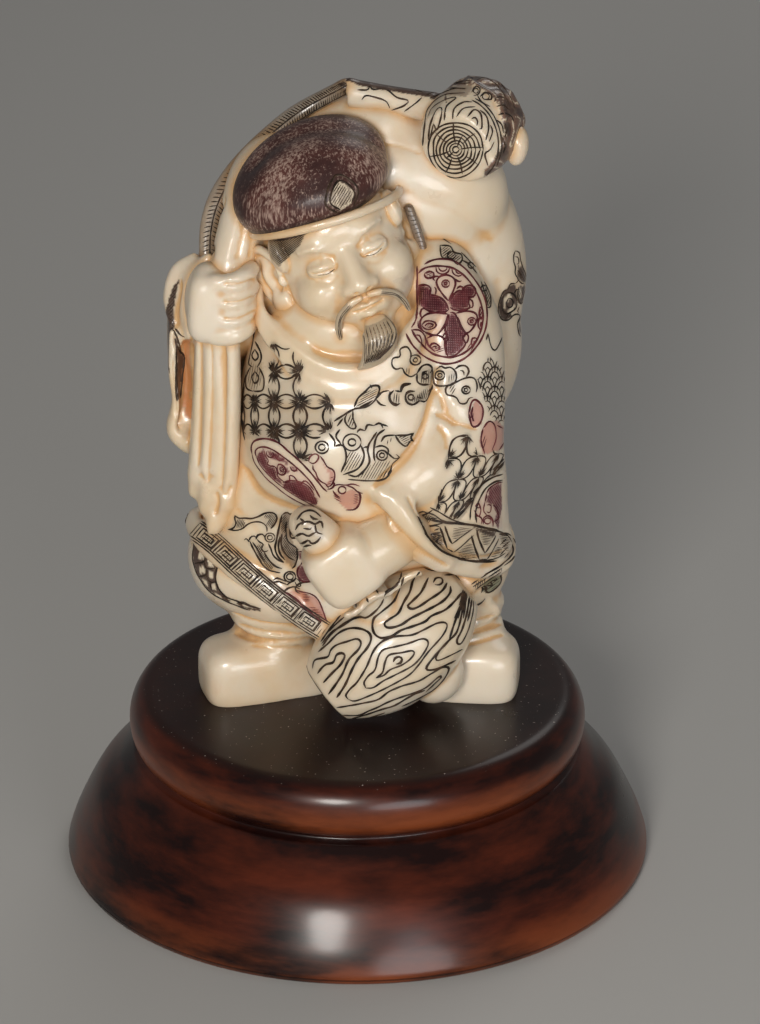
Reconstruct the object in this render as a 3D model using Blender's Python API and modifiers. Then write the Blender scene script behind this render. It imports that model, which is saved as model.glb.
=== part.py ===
# Ivory statuette of a stout smiling traveller with a sack and two mallets, on a turned wood stand.
# World units are metres, +Z is up and the figure faces -Y.
import math

import bmesh
import bpy
import numpy as np
from mathutils import Euler, Matrix, Vector
from mathutils.bvhtree import BVHTree

# Driving sizes of the stand
FOOT_RADIUS = 0.0446
FOOT_ROUNDING = 0.0012
NECK_RADIUS = 0.0327
LIP_WIDTH = 0.0012
PLATE_RADIUS = 0.0347
SEAT_RADIUS = 0.0312
FLARE_HEIGHT = 0.0178
GROOVE_HEIGHT = 0.0008
PLATE_THICKNESS = 0.0084
STAND_SIDES = 48
# The flare's curve, as shares of its reach and of its height
FLARE_SHARES = ((0.26, 0.84), (0.585, 0.63), (0.86, 0.315), (0.985, 0.12), (1.0, 0.06))

# Driving sizes of the figure
FIGURE_HEIGHT = 0.0960
SEAT_GAP = 0.0003
VOXEL_SHARE = 0.65 / 96
FIGURE_TRIANGLES = 7900

# Places on the figure are counted in 96ths of its height, from the middle of its footprint
SHARE = FIGURE_HEIGHT / 96
STAND_HEIGHT = FLARE_HEIGHT + GROOVE_HEIGHT + PLATE_THICKNESS
VIEWPOINT = Vector((3.45, -592.0, 297.2))

# The head: where it sits and how it is tilted, in degrees
HEAD_PLACE = (-2.2, -0.8, 70.6)
HEAD_TURN = (-8, -20, 12)

# Places and half sizes of the forms that more than one step uses
LOWER_MALLET_AXIS = ((-5.2, -13.0, 4.9), (14.6, -9.0, 19))
UPPER_MALLET_AXIS = ((14.4, -1.2, 87), (19.4, 8, 89.2))
HEM_LEFT = ((-24.8, 2.5, 26, 2, 1), (-23, -3.4, 25.4, 2, 1), (-19, -7.6, 23.6, 2.1, 1),
            (-14, -10, 20.8, 2.1, 1), (-9, -11.4, 17.4, 2.1, 1), (-4.2, -12, 13.8, 2, 1))
HEM_RIGHT = ((4, -11, 14, 2, 1), (10, -8.6, 16.4, 2, 1), (15.6, -6.4, 19, 2, 1), (21.6, -2.6, 21.6, 2, 1),
             (22.6, 3, 21.6, 2, 1))
HEM_BACK = ((-24.8, 2.5, 26, 2, 1), (-22.6, 9, 23.6, 2, 1), (-15, 13.6, 20.6, 2, 1), (-4, 14.6, 19.6, 2, 1),
            (8, 14.4, 19.8, 2, 1), (18, 11.4, 20.6, 2, 1), (22.6, 3, 21.6, 2, 1))
CUFF_RIM = ((3, -15.6, 38.8, 1.7, 1.1), (6.2, -16, 34.6, 1.9, 1.1), (9.6, -14.6, 29.8, 1.9, 1.1),
            (13.6, -11.6, 25, 1.7, 1.1), (18.6, -7.4, 22, 1.5, 1.1), (22.2, -3.4, 21.7, 1.4, 1.1),
            (22.8, 0.6, 24.2, 1.2, 1), (20.6, 3.4, 28, 1, 1))
COLLAR = ((-14.4, -1.5, 65.4, 1.4, 0.8), (-13.4, -5.6, 61.6, 1.5, 0.8), (-8.6, -9.6, 58, 1.6, 0.8),
          (-1.4, -11.6, 55.8, 1.7, 0.8), (5.4, -10.4, 58, 1.6, 0.8), (9.6, -6.8, 63.4, 1.5, 0.8),
          (10.8, -2, 68.4, 1.4, 0.8))

# Strokes of the carving tool: where each runs, seen from the front, then its width and its depth
STROKES = (
    # The furrow in the cap
    (((-14.2, 81.7), (-11, 85.6), (-5.5, 87.8), (0, 87.2), (3.5, 85)), 1.3, 1.1),
    # Where the hanging arm leaves the belly, and the folds at its elbow
    (((11.9, 49.3), (10.6, 43.7), (8.2, 38), (2.7, 32.6)), 1, 1.3),
    (((12, 48.1), (12.9, 44.9), (14.1, 41.7)), 0.8, 0.7),
    (((11.7, 42.8), (14.1, 41.1), (17.4, 39.5)), 0.8, 0.6),
    # The belly above the skirt
    (((-16.9, 35.6), (-14.2, 31.2), (-8.5, 28.4), (-2.8, 27.1)), 1.2, 1.2),
    # The gathered neck of the sack, and creases in its side
    (((-19.1, 78.3), (-20.4, 73.3), (-21.2, 68.7)), 0.8, 0.8),
    (((-16, 76), (-16.7, 72.1), (-17.4, 68.7)), 0.8, 0.8),
    (((4.6, 88.7), (7, 85.9), (10.4, 83.5)), 1.2, 0.6),
    (((6.3, 79.8), (10, 76.7), (14.3, 74), (18.7, 69.3)), 1.2, 0.9),
    # The tied trouser ends
    (((-18.3, 11.1), (-14.4, 9.4), (-8.7, 8.8), (-5.3, 9.4)), 0.8, 0.8),
    (((-18.3, 8.8), (-14.4, 7.1), (-8.7, 6.6), (-5.3, 7.4)), 0.8, 0.6),
    # Between the fingers of the upper fist
    (((-19.6, 64.6), (-14.4, 65.4)), 0.6, 0.7),
    (((-19.7, 61.9), (-14.4, 63)), 0.6, 0.7),
    (((-19.7, 59.3), (-14.7, 60.8)), 0.6, 0.7),
    # Between the folds of the hanging cloth, and the opening of the sleeve behind it
    (((-22.4, 54.5), (-22.7, 43.7), (-23.4, 33.9)), 0.8, 0.9),
    (((-20.2, 54.2), (-20.5, 43.7), (-21.3, 32.3)), 0.8, 0.9),
    (((-18, 54.8), (-18.2, 43.7), (-18.8, 30.7)), 0.8, 0.9),
    (((-25.2, 54.5), (-25.2, 47.7), (-25.9, 41.7)), 0.9, 1.6),
    # The opening of the lower sleeve, beside its rim
    (((3.6, 33), (6.6, 27), (10.2, 21.9), (15, 18.4)), 0.9, 0.9),
)

IVORY = (0.86, 0.76, 0.58, 1.0)
LACQUERED_WOOD = (0.16, 0.035, 0.014, 1.0)


def clear_scene():
    for item in list(bpy.data.objects):
        bpy.data.objects.remove(item)


def new_collection(name):
    collection = bpy.data.collections.new(name)
    bpy.context.scene.collection.children.link(collection)
    return collection


def new_material(name, colour, roughness, metallic):
    material = bpy.data.materials.new(name)
    material.use_nodes = True
    shader = material.node_tree.nodes["Principled BSDF"]
    shader.inputs["Base Color"].default_value = colour
    shader.inputs["Roughness"].default_value = roughness
    shader.inputs["Metallic"].default_value = metallic
    material.diffuse_color = colour
    return material


def new_object(name, mesh, collection, material):
    item = bpy.data.objects.new(name, mesh)
    collection.objects.link(item)
    item.data.materials.append(material)
    return item


# Shapes that are pressed together into one lump of clay before its skin is drawn over them

def turn_of(degrees):
    return Euler([math.radians(angle) for angle in degrees]).to_matrix().to_4x4()


def add_to(clay, lump):
    # Each shape is made by itself, because operators slow down as a mesh grows
    mesh = bpy.data.meshes.new("lump")
    lump.to_mesh(mesh)
    lump.free()
    clay.from_mesh(mesh)
    bpy.data.meshes.remove(mesh)


def ball(clay, place, radii, turn=(0, 0, 0)):
    matrix = Matrix.Translation(place) @ turn_of(turn) @ Matrix.Diagonal((*radii, 1))
    lump = bmesh.new()
    bmesh.ops.create_uvsphere(lump, u_segments=48, v_segments=32, radius=1, matrix=matrix)
    add_to(clay, lump)


def block(clay, place, halves, turn=(0, 0, 0)):
    matrix = Matrix.Translation(place) @ turn_of(turn) @ Matrix.Diagonal((*halves, 1))
    lump = bmesh.new()
    bmesh.ops.create_cube(lump, size=2, matrix=matrix)
    add_to(clay, lump)


def curve_through(points, steps):
    # Catmull-Rom curve through rows of numbers, with so many steps between two of them
    rows = np.array(points, float)
    ends = np.vstack([2 * rows[0] - rows[1], rows, 2 * rows[-1] - rows[-2]])
    found = []
    for i in range(len(rows) - 1):
        a, b, c, d = ends[i:i + 4]
        for t in np.arange(steps) / steps:
            found.append(0.5 * (2 * b + (c - a) * t + (2 * a - 5 * b + 4 * c - d) * t**2
                                + (3 * b - a - 3 * c + d) * t**3))
    found.append(rows[-1])
    return np.array(found)


def limb(clay, stations, across=(1, 0, 0), steps=5, domed=(True, True)):
    # A closed form swept through stations of x, y, z, half width and half depth.
    # The half width lies along across, and an end is rounded off where domed says so.
    lump = bmesh.new()
    path = curve_through(stations, steps)
    rings = []
    last = len(path) - 1
    for i, row in enumerate(path):
        forward = Vector(path[min(i + 1, last)][:3] - path[max(i - 1, 0)][:3]).normalized()
        wide = Vector(across) - forward * Vector(across).dot(forward)
        wide.normalize()
        deep = forward.cross(wide)
        rings.append((Vector(row[:3]), forward, wide * row[3], deep * row[4]))
    dome = [0.45, 0.75, 0.93]
    front, back = rings[0], rings[-1]
    if domed[0]:
        reach = min(front[2].length, front[3].length)
        rings[:0] = [(front[0] - front[1] * reach * math.sqrt(1 - s * s), front[1],
                      front[2] * s, front[3] * s) for s in dome]
    if domed[1]:
        reach = min(back[2].length, back[3].length)
        rings += [(back[0] + back[1] * reach * math.sqrt(1 - s * s), back[1],
                   back[2] * s, back[3] * s) for s in reversed(dome)]
    loops = []
    for i, (place, forward, wide, deep) in enumerate(rings):
        matrix = Matrix((wide, deep, forward)).transposed().to_4x4()
        matrix.translation = place
        made = bmesh.ops.create_circle(lump, cap_ends=i in (0, len(rings) - 1), segments=20,
                                       radius=1, matrix=matrix)
        ring = set(made["verts"])
        loops.append([edge for vert in ring for edge in vert.link_edges
                      if edge.other_vert(vert) in ring and edge.verts[0] == vert])
    for lower, upper in zip(loops, loops[1:]):
        bmesh.ops.bridge_loops(lump, edges=lower + upper)
    add_to(clay, lump)


def pair(clay, shape, place, *rest, **more):
    """The same shape on both sides of the head's middle plane."""
    for side in (-1, 1):
        shape(clay, (side * place[0], *place[1:]), *rest, **more)


# The lump is drawn over with one closed skin, which the strokes below then work on

def skin_over(clay, voxel):
    mesh = bpy.data.meshes.new("clay")
    clay.to_mesh(mesh)
    clay.free()
    item = bpy.data.objects.new("clay", mesh)
    bpy.context.scene.collection.objects.link(item)
    remesh = item.modifiers.new("skin", "REMESH")
    remesh.mode = "VOXEL"
    remesh.voxel_size = voxel
    made = bpy.data.meshes.new_from_object(item.evaluated_get(bpy.context.evaluated_depsgraph_get()))
    bpy.data.objects.remove(item)
    return made


def points_of(mesh):
    points = np.empty(len(mesh.vertices) * 3, np.float32)
    mesh.vertices.foreach_get("co", points)
    return points.reshape(-1, 3).astype(float)


def put_points(mesh, points):
    mesh.vertices.foreach_set("co", points.astype(np.float32).ravel())
    mesh.update()


def relax(mesh, rounds, share=0.5):
    points = points_of(mesh)
    edges = np.empty(len(mesh.edges) * 2, np.int32)
    mesh.edges.foreach_get("vertices", edges)
    a, b = edges.reshape(-1, 2).T
    count = np.bincount(np.concatenate([a, b]), minlength=len(points))[:, None]
    for _ in range(rounds):
        total = np.stack([np.bincount(np.concatenate([a, b]), points[np.concatenate([b, a]), k],
                                      len(points)) for k in range(3)], axis=1)
        points += share * (total / count - points)
    put_points(mesh, points)


def stroke(mesh, tree, marks, width, depth, steps=6):
    # Cuts a groove along the marks, or raises a ridge where depth is below 0.
    # A mark is a place seen from the front, in the upright plane through the figure's middle.
    path = []
    for u, v in curve_through(marks, steps):
        hit = tree.ray_cast(VIEWPOINT, Vector((u, 0, v)) - VIEWPOINT)[0]
        if hit:
            path.append(np.array(hit))
    press(mesh, path, width, depth)


def press(mesh, path, width, depth):
    if len(path) < 2:
        return
    path = np.array(path)
    points = points_of(mesh)
    normals = np.empty(len(points) * 3, np.float32)
    mesh.vertices.foreach_get("normal", normals)
    normals = normals.reshape(-1, 3)
    low, high = path.min(axis=0) - 3 * width, path.max(axis=0) + 3 * width
    near = np.nonzero(((points > low) & (points < high)).all(axis=1))[0]
    if not len(near):
        return
    place = points[near]
    best = np.full(len(near), np.inf)
    for i, (a, b) in enumerate(zip(path, path[1:])):
        along = b - a
        t = np.clip((place - a) @ along / max(along @ along, 1e-12), 0, 1)
        gap = np.linalg.norm(place - a - t[:, None] * along, axis=1)
        # Both ends of a stroke fade out
        s = (i + t) / (len(path) - 1)
        fade = np.clip(np.minimum(s, 1 - s) / 0.12 + 0.25, 0, 1)
        best = np.minimum(best, gap / width - np.log(fade) * 0.5)
    points[near] -= normals[near] * (depth * np.exp(-best * best))[:, None]
    put_points(mesh, points)


# The stand: a turned plate with a rounded edge, over a groove and a foot that flares outward

def arc(middle, radii, start, stop, count):
    angles = np.radians(np.linspace(start, stop, count))
    return [(middle[0] + radii[0] * math.cos(a), middle[1] + radii[1] * math.sin(a)) for a in angles]


def stand_profile():
    plate_low = FLARE_HEIGHT + GROOVE_HEIGHT
    widest = plate_low + PLATE_THICKNESS * 0.45
    shoulder = (PLATE_RADIUS - SEAT_RADIUS, STAND_HEIGHT - widest)
    under = (PLATE_RADIUS - NECK_RADIUS, widest - plate_low)
    lip = NECK_RADIUS + LIP_WIDTH
    reach = FOOT_RADIUS - lip
    rows = [(0, STAND_HEIGHT)]
    rows += arc((SEAT_RADIUS, widest), shoulder, 90, 0, 6)
    rows += arc((NECK_RADIUS, widest), under, 0, -90, 4)[1:]
    flare = [(lip, FLARE_HEIGHT)]
    flare += [(lip + reach * out, FLARE_HEIGHT * up) for out, up in FLARE_SHARES]
    rows += [tuple(row) for row in curve_through(flare, 2)]
    rows.append((FOOT_RADIUS - FOOT_ROUNDING, 0))
    rows.append((0, 0))
    return rows


def make_stand(collection):
    mesh = bpy.data.meshes.new("wood_stand")
    profile = bmesh.new()
    verts = [profile.verts.new((radius, 0, height)) for radius, height in stand_profile()]
    for pair_of in zip(verts, verts[1:]):
        profile.edges.new(pair_of)
    profile.to_mesh(mesh)
    profile.free()
    material = new_material("lacquered wood", LACQUERED_WOOD, 0.3, 0)
    item = new_object("wood_stand", mesh, collection, material)
    turned = item.modifiers.new("turned", "SCREW")
    turned.steps = turned.render_steps = STAND_SIDES
    turned.use_merge_vertices = True
    turned.merge_threshold = 0.00002
    turned.use_smooth_shade = True
    return item


# The figure, from the ground up

def boots(clay):
    # Each boot points outward, and its toe is blunt
    block(clay, (-14, -1.4, 2.4), (8.8, 5.2, 3.7), (0, 0, 18))
    ball(clay, (-19.4, -2.9, 3.6), (4.4, 5.3, 4.1), (0, 0, 18))
    limb(clay, [(-18, -2, 3.2, 4.8, 3.8), (-13, 0.2, 5.6, 5.4, 4.8), (-11.8, 1.4, 9, 5.2, 5.2)],
         across=(0, 1, 0))
    block(clay, (17.6, -2, 2.8), (7, 5.6, 4), (0, 0, -6))
    ball(clay, (19.8, -2.4, 4), (4.9, 5.6, 4.9), (0, 0, -6))
    limb(clay, [(19.4, -2, 4, 4.8, 4.2), (17, 0.6, 7.4, 5, 4.8), (15.8, 2, 11, 4.8, 4.8)],
         across=(0, 1, 0))
    for side in (-1, 1):
        limb(clay, [(side * 12.4, 2.6, 3, 6, 6.4), (side * 12.6, 2.4, 8, 5.8, 5.8), (side * 12.8, 2.4, 13, 5.8, 5.8)])
        block(clay, (side * 12.2, 6, 2), (5.2, 5.6, 3.2), (0, 0, -side * 8))


def trousers(clay):
    ball(clay, (-15.2, 1.2, 20.6), (10.4, 9.6, 9.2), (0, 10, 0))
    ball(clay, (-11.6, -1.5, 17.2), (8.4, 7.4, 5.8))
    ball(clay, (13.8, 2.6, 20), (9.4, 9.4, 9.4))
    ball(clay, (0.5, 5.5, 20), (16, 9, 10))
    for x, y, z, reach in [(-12, 1, 11.9, 6.6), (-12, 1, 9.3, 6.2), (16, 2.2, 13, 5.7), (16.2, 2.2, 10.2, 5.4)]:
        ball(clay, (x, y, z), (reach, reach * 0.92, 1.7))


def robe(clay):
    limb(clay, [(0.5, 3.5, 22, 17.5, 10), (0.5, 1, 30, 20.4, 13.4), (0.3, -0.5, 38, 19.4, 15),
                (0.6, -0.2, 47, 18.2, 14.2), (1.2, 1.4, 56, 16.4, 11.6), (1.6, 3.6, 65, 12.4, 9)],
         domed=(False, True))
    ball(clay, (-2, -5, 42.5), (14.6, 12, 11.2))
    ball(clay, (-1.6, -3.6, 51), (13.4, 9.4, 9.6))
    # The skirt falls from the left hip to a hem between the legs
    ball(clay, (-8, -1.6, 28), (16.6, 9.6, 11), (0, 30, 0))
    ball(clay, (-6, -5, 23), (9.6, 6.6, 9), (0, 40, 0))
    limb(clay, HEM_LEFT, across=(0.4, 0.2, 1), steps=4)
    limb(clay, HEM_RIGHT, across=(0, 0.3, 1), steps=4)
    limb(clay, HEM_BACK, across=(0, -0.2, 1), steps=4)
    ball(clay, (-0.6, 4.6, 28), (22.6, 11, 10.4))
    limb(clay, [(-1, 4.4, 20, 20.4, 9.6), (-0.6, 4.4, 30, 19, 10)])
    limb(clay, [(-4, -10.6, 30, 7, 2.6), (-3, -11, 22, 5, 2.4), (0, -11, 15, 4, 2)])


def sack(clay):
    ball(clay, (1.2, 14, 61.4), (24.2, 12.8, 27))
    ball(clay, (11, 12.4, 51), (13.8, 11.4, 17))
    ball(clay, (7.6, 10.6, 77), (15.2, 9.4, 11.2), (0, 18, 0))
    # It is gathered toward the upper fist
    limb(clay, [(-18.6, -2.6, 68, 3.2, 3), (-16.6, 0.4, 73.6, 3.6, 3.6), (-13.8, 5, 79, 5.2, 5),
                (-8, 10, 81, 7.4, 6)])
    limb(clay, [(-20.8, 2, 67, 1.8, 3), (-19, 6, 73.6, 2.4, 4), (-14, 10, 80, 3.6, 4)])


def upper_sleeve(clay):
    # The sleeve of the raised arm falls back from the wrist and hangs open behind the cloth
    limb(clay, [(-21.4, 6.6, 65.4, 2.6, 5), (-24.4, 5.6, 61.4, 3, 6), (-25.2, 4.8, 54, 2.9, 6.2),
                (-24.7, 3.8, 46.4, 2.7, 5.4), (-25.1, 2.6, 41.8, 2.6, 4.2)])
    ball(clay, (-20.5, 5, 54), (4, 7, 12))
    for out, back, low in [(0, 0, 0), (1.8, 1.6, 0.6)]:
        limb(clay, [(-21.6 - out, -1.4 + back, 69.4 - low, 1, 1.1), (-24.2 - out, -0.8 + back, 66.6, 1.1, 1.2),
                    (-25.1 - out, -0.8 + back, 62.4, 1.1, 1.2), (-23.9 - out, -1.4 + back, 57.8, 1, 1.1)])


def hanging_cloth(clay):
    # The loose end of the cloth hangs below the fist in four soft folds
    for x, y, low, wide in [(-22.6, -4, 34.4, 2), (-20.1, -5.4, 36.4, 1.7), (-17.8, -6.4, 32, 1.9),
                            (-15.4, -6, 33, 1.9)]:
        limb(clay, [(x + 0.6, y + 0.4, 59, wide * 0.75, 2), (x + 0.4, y, 50, wide, 2.4),
                    (x - 0.2, y - 0.4, 41, wide, 2.6), (x - 0.6, y - 0.8, low, wide * 0.95, 2.2)])
    block(clay, (-18.9, -2, 46), (4.4, 2.8, 12))
    limb(clay, [(-19, -5, 35, 3.6, 2.4), (-19.6, -6.6, 31.4, 2.8, 2), (-20.6, -7.4, 28.6, 1.2, 1.2)])


def lower_sleeve(clay):
    # The other arm hangs down, and its wide sleeve opens toward the wrist
    limb(clay, [(12.2, 1.8, 66, 7.6, 7), (13.6, 0.4, 58, 8.3, 8), (13.4, -1.6, 49, 8.6, 8.4),
                (13.2, -4.2, 41, 8.6, 8.6), (14.2, -4.6, 33, 8.6, 7.6), (16, -4.4, 27, 7.4, 5.6)],
         across=(1, 0.5, 0))
    limb(clay, [(13, -7, 42.5, 6, 6), (9, -10.6, 39.6, 5.4, 5.2), (5.4, -13, 38, 3.6, 3.6)],
         across=(0, 0.3, 1))
    limb(clay, CUFF_RIM, across=(0.5, -0.8, 0.2), steps=6)
    limb(clay, [(8, -11.6, 37.4, 3, 3), (12, -9.6, 33, 4.2, 3), (16.4, -7.6, 27.6, 4.4, 3), (20, -4.4, 25, 4, 3)],
         across=(1, 0.6, 0))


def hands(clay):
    # The upper fist: a plain back of the hand, and four fingers closed round the cloth
    ball(clay, (-21.3, -4, 64), (3.6, 4.6, 6.2))
    block(clay, (-20.9, -4, 64), (2.7, 3.7, 4.6), (0, 3, 0))
    for k in range(4):
        z = 68 - 2.8 * k
        limb(clay, [(-20, -6.8, z, 1.4, 1.5), (-17.4, -7.6, z + 0.2, 1.35, 1.4),
                    (-15.2, -6.2, z + 0.7, 1.3, 1.4), (-14, -3.6, z + 1, 1.2, 1.4)], across=(0, 0, 1))
    block(clay, (-17.6, -3, 63.8), (2.6, 3, 4.6))
    # The lower fist: one smooth block closed on the handle
    limb(clay, [(15.6, -7, 33, 4.8, 4.4), (10.4, -11.4, 32, 4.7, 4.4), (5.4, -14.6, 30.8, 5, 4.8),
                (0.8, -16.4, 28.8, 5.9, 5), (-1.6, -16.8, 27.8, 5.7, 4.8), (-2.4, -17, 27.4, 5.3, 4.4)],
         across=(0.2, 0, 1))


def turned(clay, start, end, radii):
    # A round form between two places, with its radii spaced evenly along it
    start, end = Vector(start), Vector(end)
    count = len(radii)
    path = [(*start.lerp(end, k / (count - 1)), radius, radius) for k, radius in enumerate(radii)]
    limb(clay, path, across=(0.3, 1, 0.1), steps=4, domed=(False, False))


def mallets(clay):
    turned(clay, *LOWER_MALLET_AXIS, (5, 6.9, 8.3, 9.1, 9.4, 9.2, 8.6, 7.6))
    limb(clay, [(-6, -17, 34.8, 3.3, 3.3), (-1.8, -16.2, 28, 3.2, 3.2), (3.4, -14.6, 19, 2.8, 2.8)],
         domed=(False, True))
    turned(clay, *UPPER_MALLET_AXIS, (5.5, 6.1, 6.7, 6.9, 6.6, 6))
    limb(clay, [(-1, 9.6, 91, 2.5, 2.2), (5, 8, 90.6, 2.3, 2.1), (11.4, 6, 90.2, 2.4, 2.3)],
         across=(0, 0, 1), domed=(False, False))
    # A knotted tassel and its ivory bead behind the upper mallet
    ball(clay, (20.2, 7.6, 87.6), (4, 5, 6), (0, -14, 0))
    ball(clay, (22.8, 3.6, 86.4), (2, 2.2, 3.2))


def collar(clay):
    ball(clay, (-1.4, -1.2, 60.5), (11.6, 9.6, 6))
    limb(clay, COLLAR, across=(0, 0, 1), steps=5)


def head():
    # Built upright about its own middle and tilted afterwards
    clay = bmesh.new()
    ball(clay, (0, 0, 0.8), (10, 9.8, 12.4))
    ball(clay, (0, -2.6, -5.6), (8.8, 7.8, 7))
    ball(clay, (0, -6, -10), (4.4, 4, 3))
    pair(clay, ball, (5, -5.8, -3), (4.3, 4.2, 4.2))
    ball(clay, (0, -3.6, 5.6), (8.8, 7.2, 5))
    # Brows, eyes and lids
    pair(clay, ball, (3.9, -7.9, 1.3), (2.4, 2, 1.9))
    for side in (-1, 1):
        limb(clay, [(side * 1.5, -10.2, 4.2, 0.9, 0.8), (side * 4.2, -9.9, 4.9, 1, 0.8),
                    (side * 6.9, -8, 3.8, 0.9, 0.7)], steps=4)
    # Nose
    limb(clay, [(0, -9.4, 3.6, 1.1, 1), (0, -11, 0.2, 1.3, 1.3), (0, -12.2, -2.4, 1.8, 1.6)], steps=4)
    ball(clay, (0, -12.1, -2.8), (2, 1.7, 1.5))
    pair(clay, ball, (1.9, -11, -3.2), (1.3, 1.4, 1.1))
    # Lips
    limb(clay, [(-3.2, -9.6, -6.6, 0.4, 0.5), (-1, -10.9, -6.8, 0.8, 0.8), (1, -10.9, -6.8, 0.8, 0.8),
                (3.2, -9.6, -6.6, 0.4, 0.5)], across=(0, 0, 1), steps=3)
    limb(clay, [(-2.8, -9.6, -7.9, 0.4, 0.5), (0, -10.8, -8.5, 0.9, 0.8), (2.8, -9.6, -7.9, 0.4, 0.5)],
         across=(0, 0, 1), steps=4)
    # Moustache and pointed beard
    for side in (-1, 1):
        limb(clay, [(side * 0.6, -11.7, -4.9, 0.7, 0.6), (side * 2.8, -11.2, -5.6, 0.95, 0.8),
                    (side * 4.8, -10, -7.6, 0.9, 0.8), (side * 5.6, -9.2, -10.8, 0.5, 0.5)], steps=4)
    limb(clay, [(-0.2, -9.4, -10.2, 2.5, 1.4), (-0.8, -10.2, -12.2, 2.6, 1.8), (-2.2, -10.4, -14.2, 1.9, 1.5),
                (-4, -10, -16, 0.6, 0.6)])
    # Long-lobed ears
    for side in (-1, 1):
        limb(clay, [(side * 10, -0.8, 4.2, 1.2, 1.7), (side * 11.1, -0.4, 1.2, 1.4, 2.6),
                    (side * 11.1, -1, -3, 1.4, 2.3), (side * 10.7, -1.8, -7.6, 1.6, 2.3)])
    # A soft cap with a rolled brim, pulled down to one side
    ball(clay, (-0.8, 0.6, 11.8), (12.5, 12, 7.7), (6, -7, 0))
    ball(clay, (-0.6, 1, 9.2), (11.9, 11.8, 4.8), (10, -5, 0))
    limb(clay, [(11.4 * math.sin(a), 0.6 - 11.6 * math.cos(a), 6 - 1.2 * math.sin(a) + 1.2 * math.cos(a),
                 0.9, 0.8) for a in np.linspace(-2.6, 2.6, 13)], across=(0, 0, 1), steps=3)
    # The tied hair behind one ear
    limb(clay, [(10.6, 2.6, 4, 0.9, 1.4), (11.8, 3.2, -1.5, 0.9, 1.6), (11.8, 3.6, -7, 0.8, 1.4)])
    turn = Matrix.Translation(HEAD_PLACE) @ turn_of(HEAD_TURN)
    bmesh.ops.transform(clay, matrix=turn, verts=clay.verts)
    mesh = bpy.data.meshes.new("head")
    clay.to_mesh(mesh)
    clay.free()
    return mesh


def cut_flat(clay):
    # The underside is sawn flat at the seat
    geometry = clay.verts[:] + clay.edges[:] + clay.faces[:]
    cut = bmesh.ops.bisect_plane(clay, geom=geometry, plane_co=(0, 0, 0), plane_no=(0, 0, 1),
                                 dist=1e-5, clear_inner=True)
    rim = [item for item in cut["geom_cut"] if isinstance(item, bmesh.types.BMEdge)]
    bmesh.ops.edgeloop_fill(clay, edges=rim)
    bmesh.ops.triangulate(clay, faces=clay.faces)


def make_figure(collection):
    clay = bmesh.new()
    for shape in (boots, trousers, robe, sack, upper_sleeve, hanging_cloth, lower_sleeve, hands,
                  mallets, collar):
        shape(clay)
    top = head()
    clay.from_mesh(top)
    mesh = skin_over(clay, VOXEL_SHARE * 96)
    relax(mesh, 5)
    carve(mesh)
    relax(mesh, 1, 0.3)
    cut = bmesh.new()
    cut.from_mesh(mesh)
    cut_flat(cut)
    size = Matrix.Translation((0, 0, STAND_HEIGHT + SEAT_GAP)) @ Matrix.Scale(SHARE, 4)
    bmesh.ops.transform(cut, matrix=size, verts=cut.verts)
    cut.to_mesh(mesh)
    cut.free()
    mesh.name = "ivory_figure"
    item = new_object("ivory_figure", mesh, collection, new_material("ivory", IVORY, 0.35, 0))
    fewer = item.modifiers.new("fewer faces", "DECIMATE")
    fewer.ratio = FIGURE_TRIANGLES / len(mesh.polygons)
    return item


def carve(mesh):
    tree = BVHTree.FromPolygons([vert.co for vert in mesh.vertices],
                                [polygon.vertices for polygon in mesh.polygons])
    for marks, width, depth in STROKES:
        stroke(mesh, tree, marks, width, depth)


clear_scene()
statuette = new_collection("ivory_statuette")
make_stand(statuette)
make_figure(statuette)
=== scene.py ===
# Ivory statuette of a stout figure in a cap, with a sack and two mallets, on a turned wood stand.
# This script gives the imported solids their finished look.
import itertools
import math

import bmesh
import bpy
import numpy as np
from mathutils import Euler, Matrix, Vector
from mathutils.bvhtree import BVHTree
from mathutils.kdtree import KDTree


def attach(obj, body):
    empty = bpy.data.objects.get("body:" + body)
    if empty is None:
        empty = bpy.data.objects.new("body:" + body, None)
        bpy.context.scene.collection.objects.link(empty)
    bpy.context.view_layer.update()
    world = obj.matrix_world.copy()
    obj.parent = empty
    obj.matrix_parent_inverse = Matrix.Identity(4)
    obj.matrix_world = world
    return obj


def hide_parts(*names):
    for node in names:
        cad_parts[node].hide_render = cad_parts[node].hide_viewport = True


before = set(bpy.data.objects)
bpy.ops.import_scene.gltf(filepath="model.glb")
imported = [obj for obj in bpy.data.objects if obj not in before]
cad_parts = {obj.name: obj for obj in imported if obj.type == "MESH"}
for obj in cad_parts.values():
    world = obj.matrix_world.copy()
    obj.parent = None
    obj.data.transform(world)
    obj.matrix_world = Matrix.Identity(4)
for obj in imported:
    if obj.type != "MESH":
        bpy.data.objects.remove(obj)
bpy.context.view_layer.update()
print("frame loaded")

# The figure is shaped in millimetres, from the middle of its footprint on the stand's plate
place = {"plateHeight": 27.3, "toMetres": 0.001, "sunk": 0.3}
toWorld = Matrix.Scale(place["toMetres"], 4) @ Matrix.Translation((0, 0, place["plateHeight"]))


# Camera, lights and floor

view = {"lens": 152.9, "sensor": 36, "distance": 0.650, "elevation": 24.4,
        "target": (0.00345, 0, 0.0557)}
tilt = math.radians(view["elevation"])
eye = Vector(view["target"]) + view["distance"] * Vector((0, -math.cos(tilt), math.sin(tilt)))
cameraData = bpy.data.cameras.new("camera")
cameraData.lens = view["lens"]
cameraData.sensor_width = view["sensor"]
camera = bpy.data.objects.new("camera", cameraData)
camera.location = eye
camera.rotation_euler = (math.pi / 2 - tilt, 0, 0)
bpy.context.scene.collection.objects.link(camera)
bpy.context.scene.camera = camera

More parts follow.
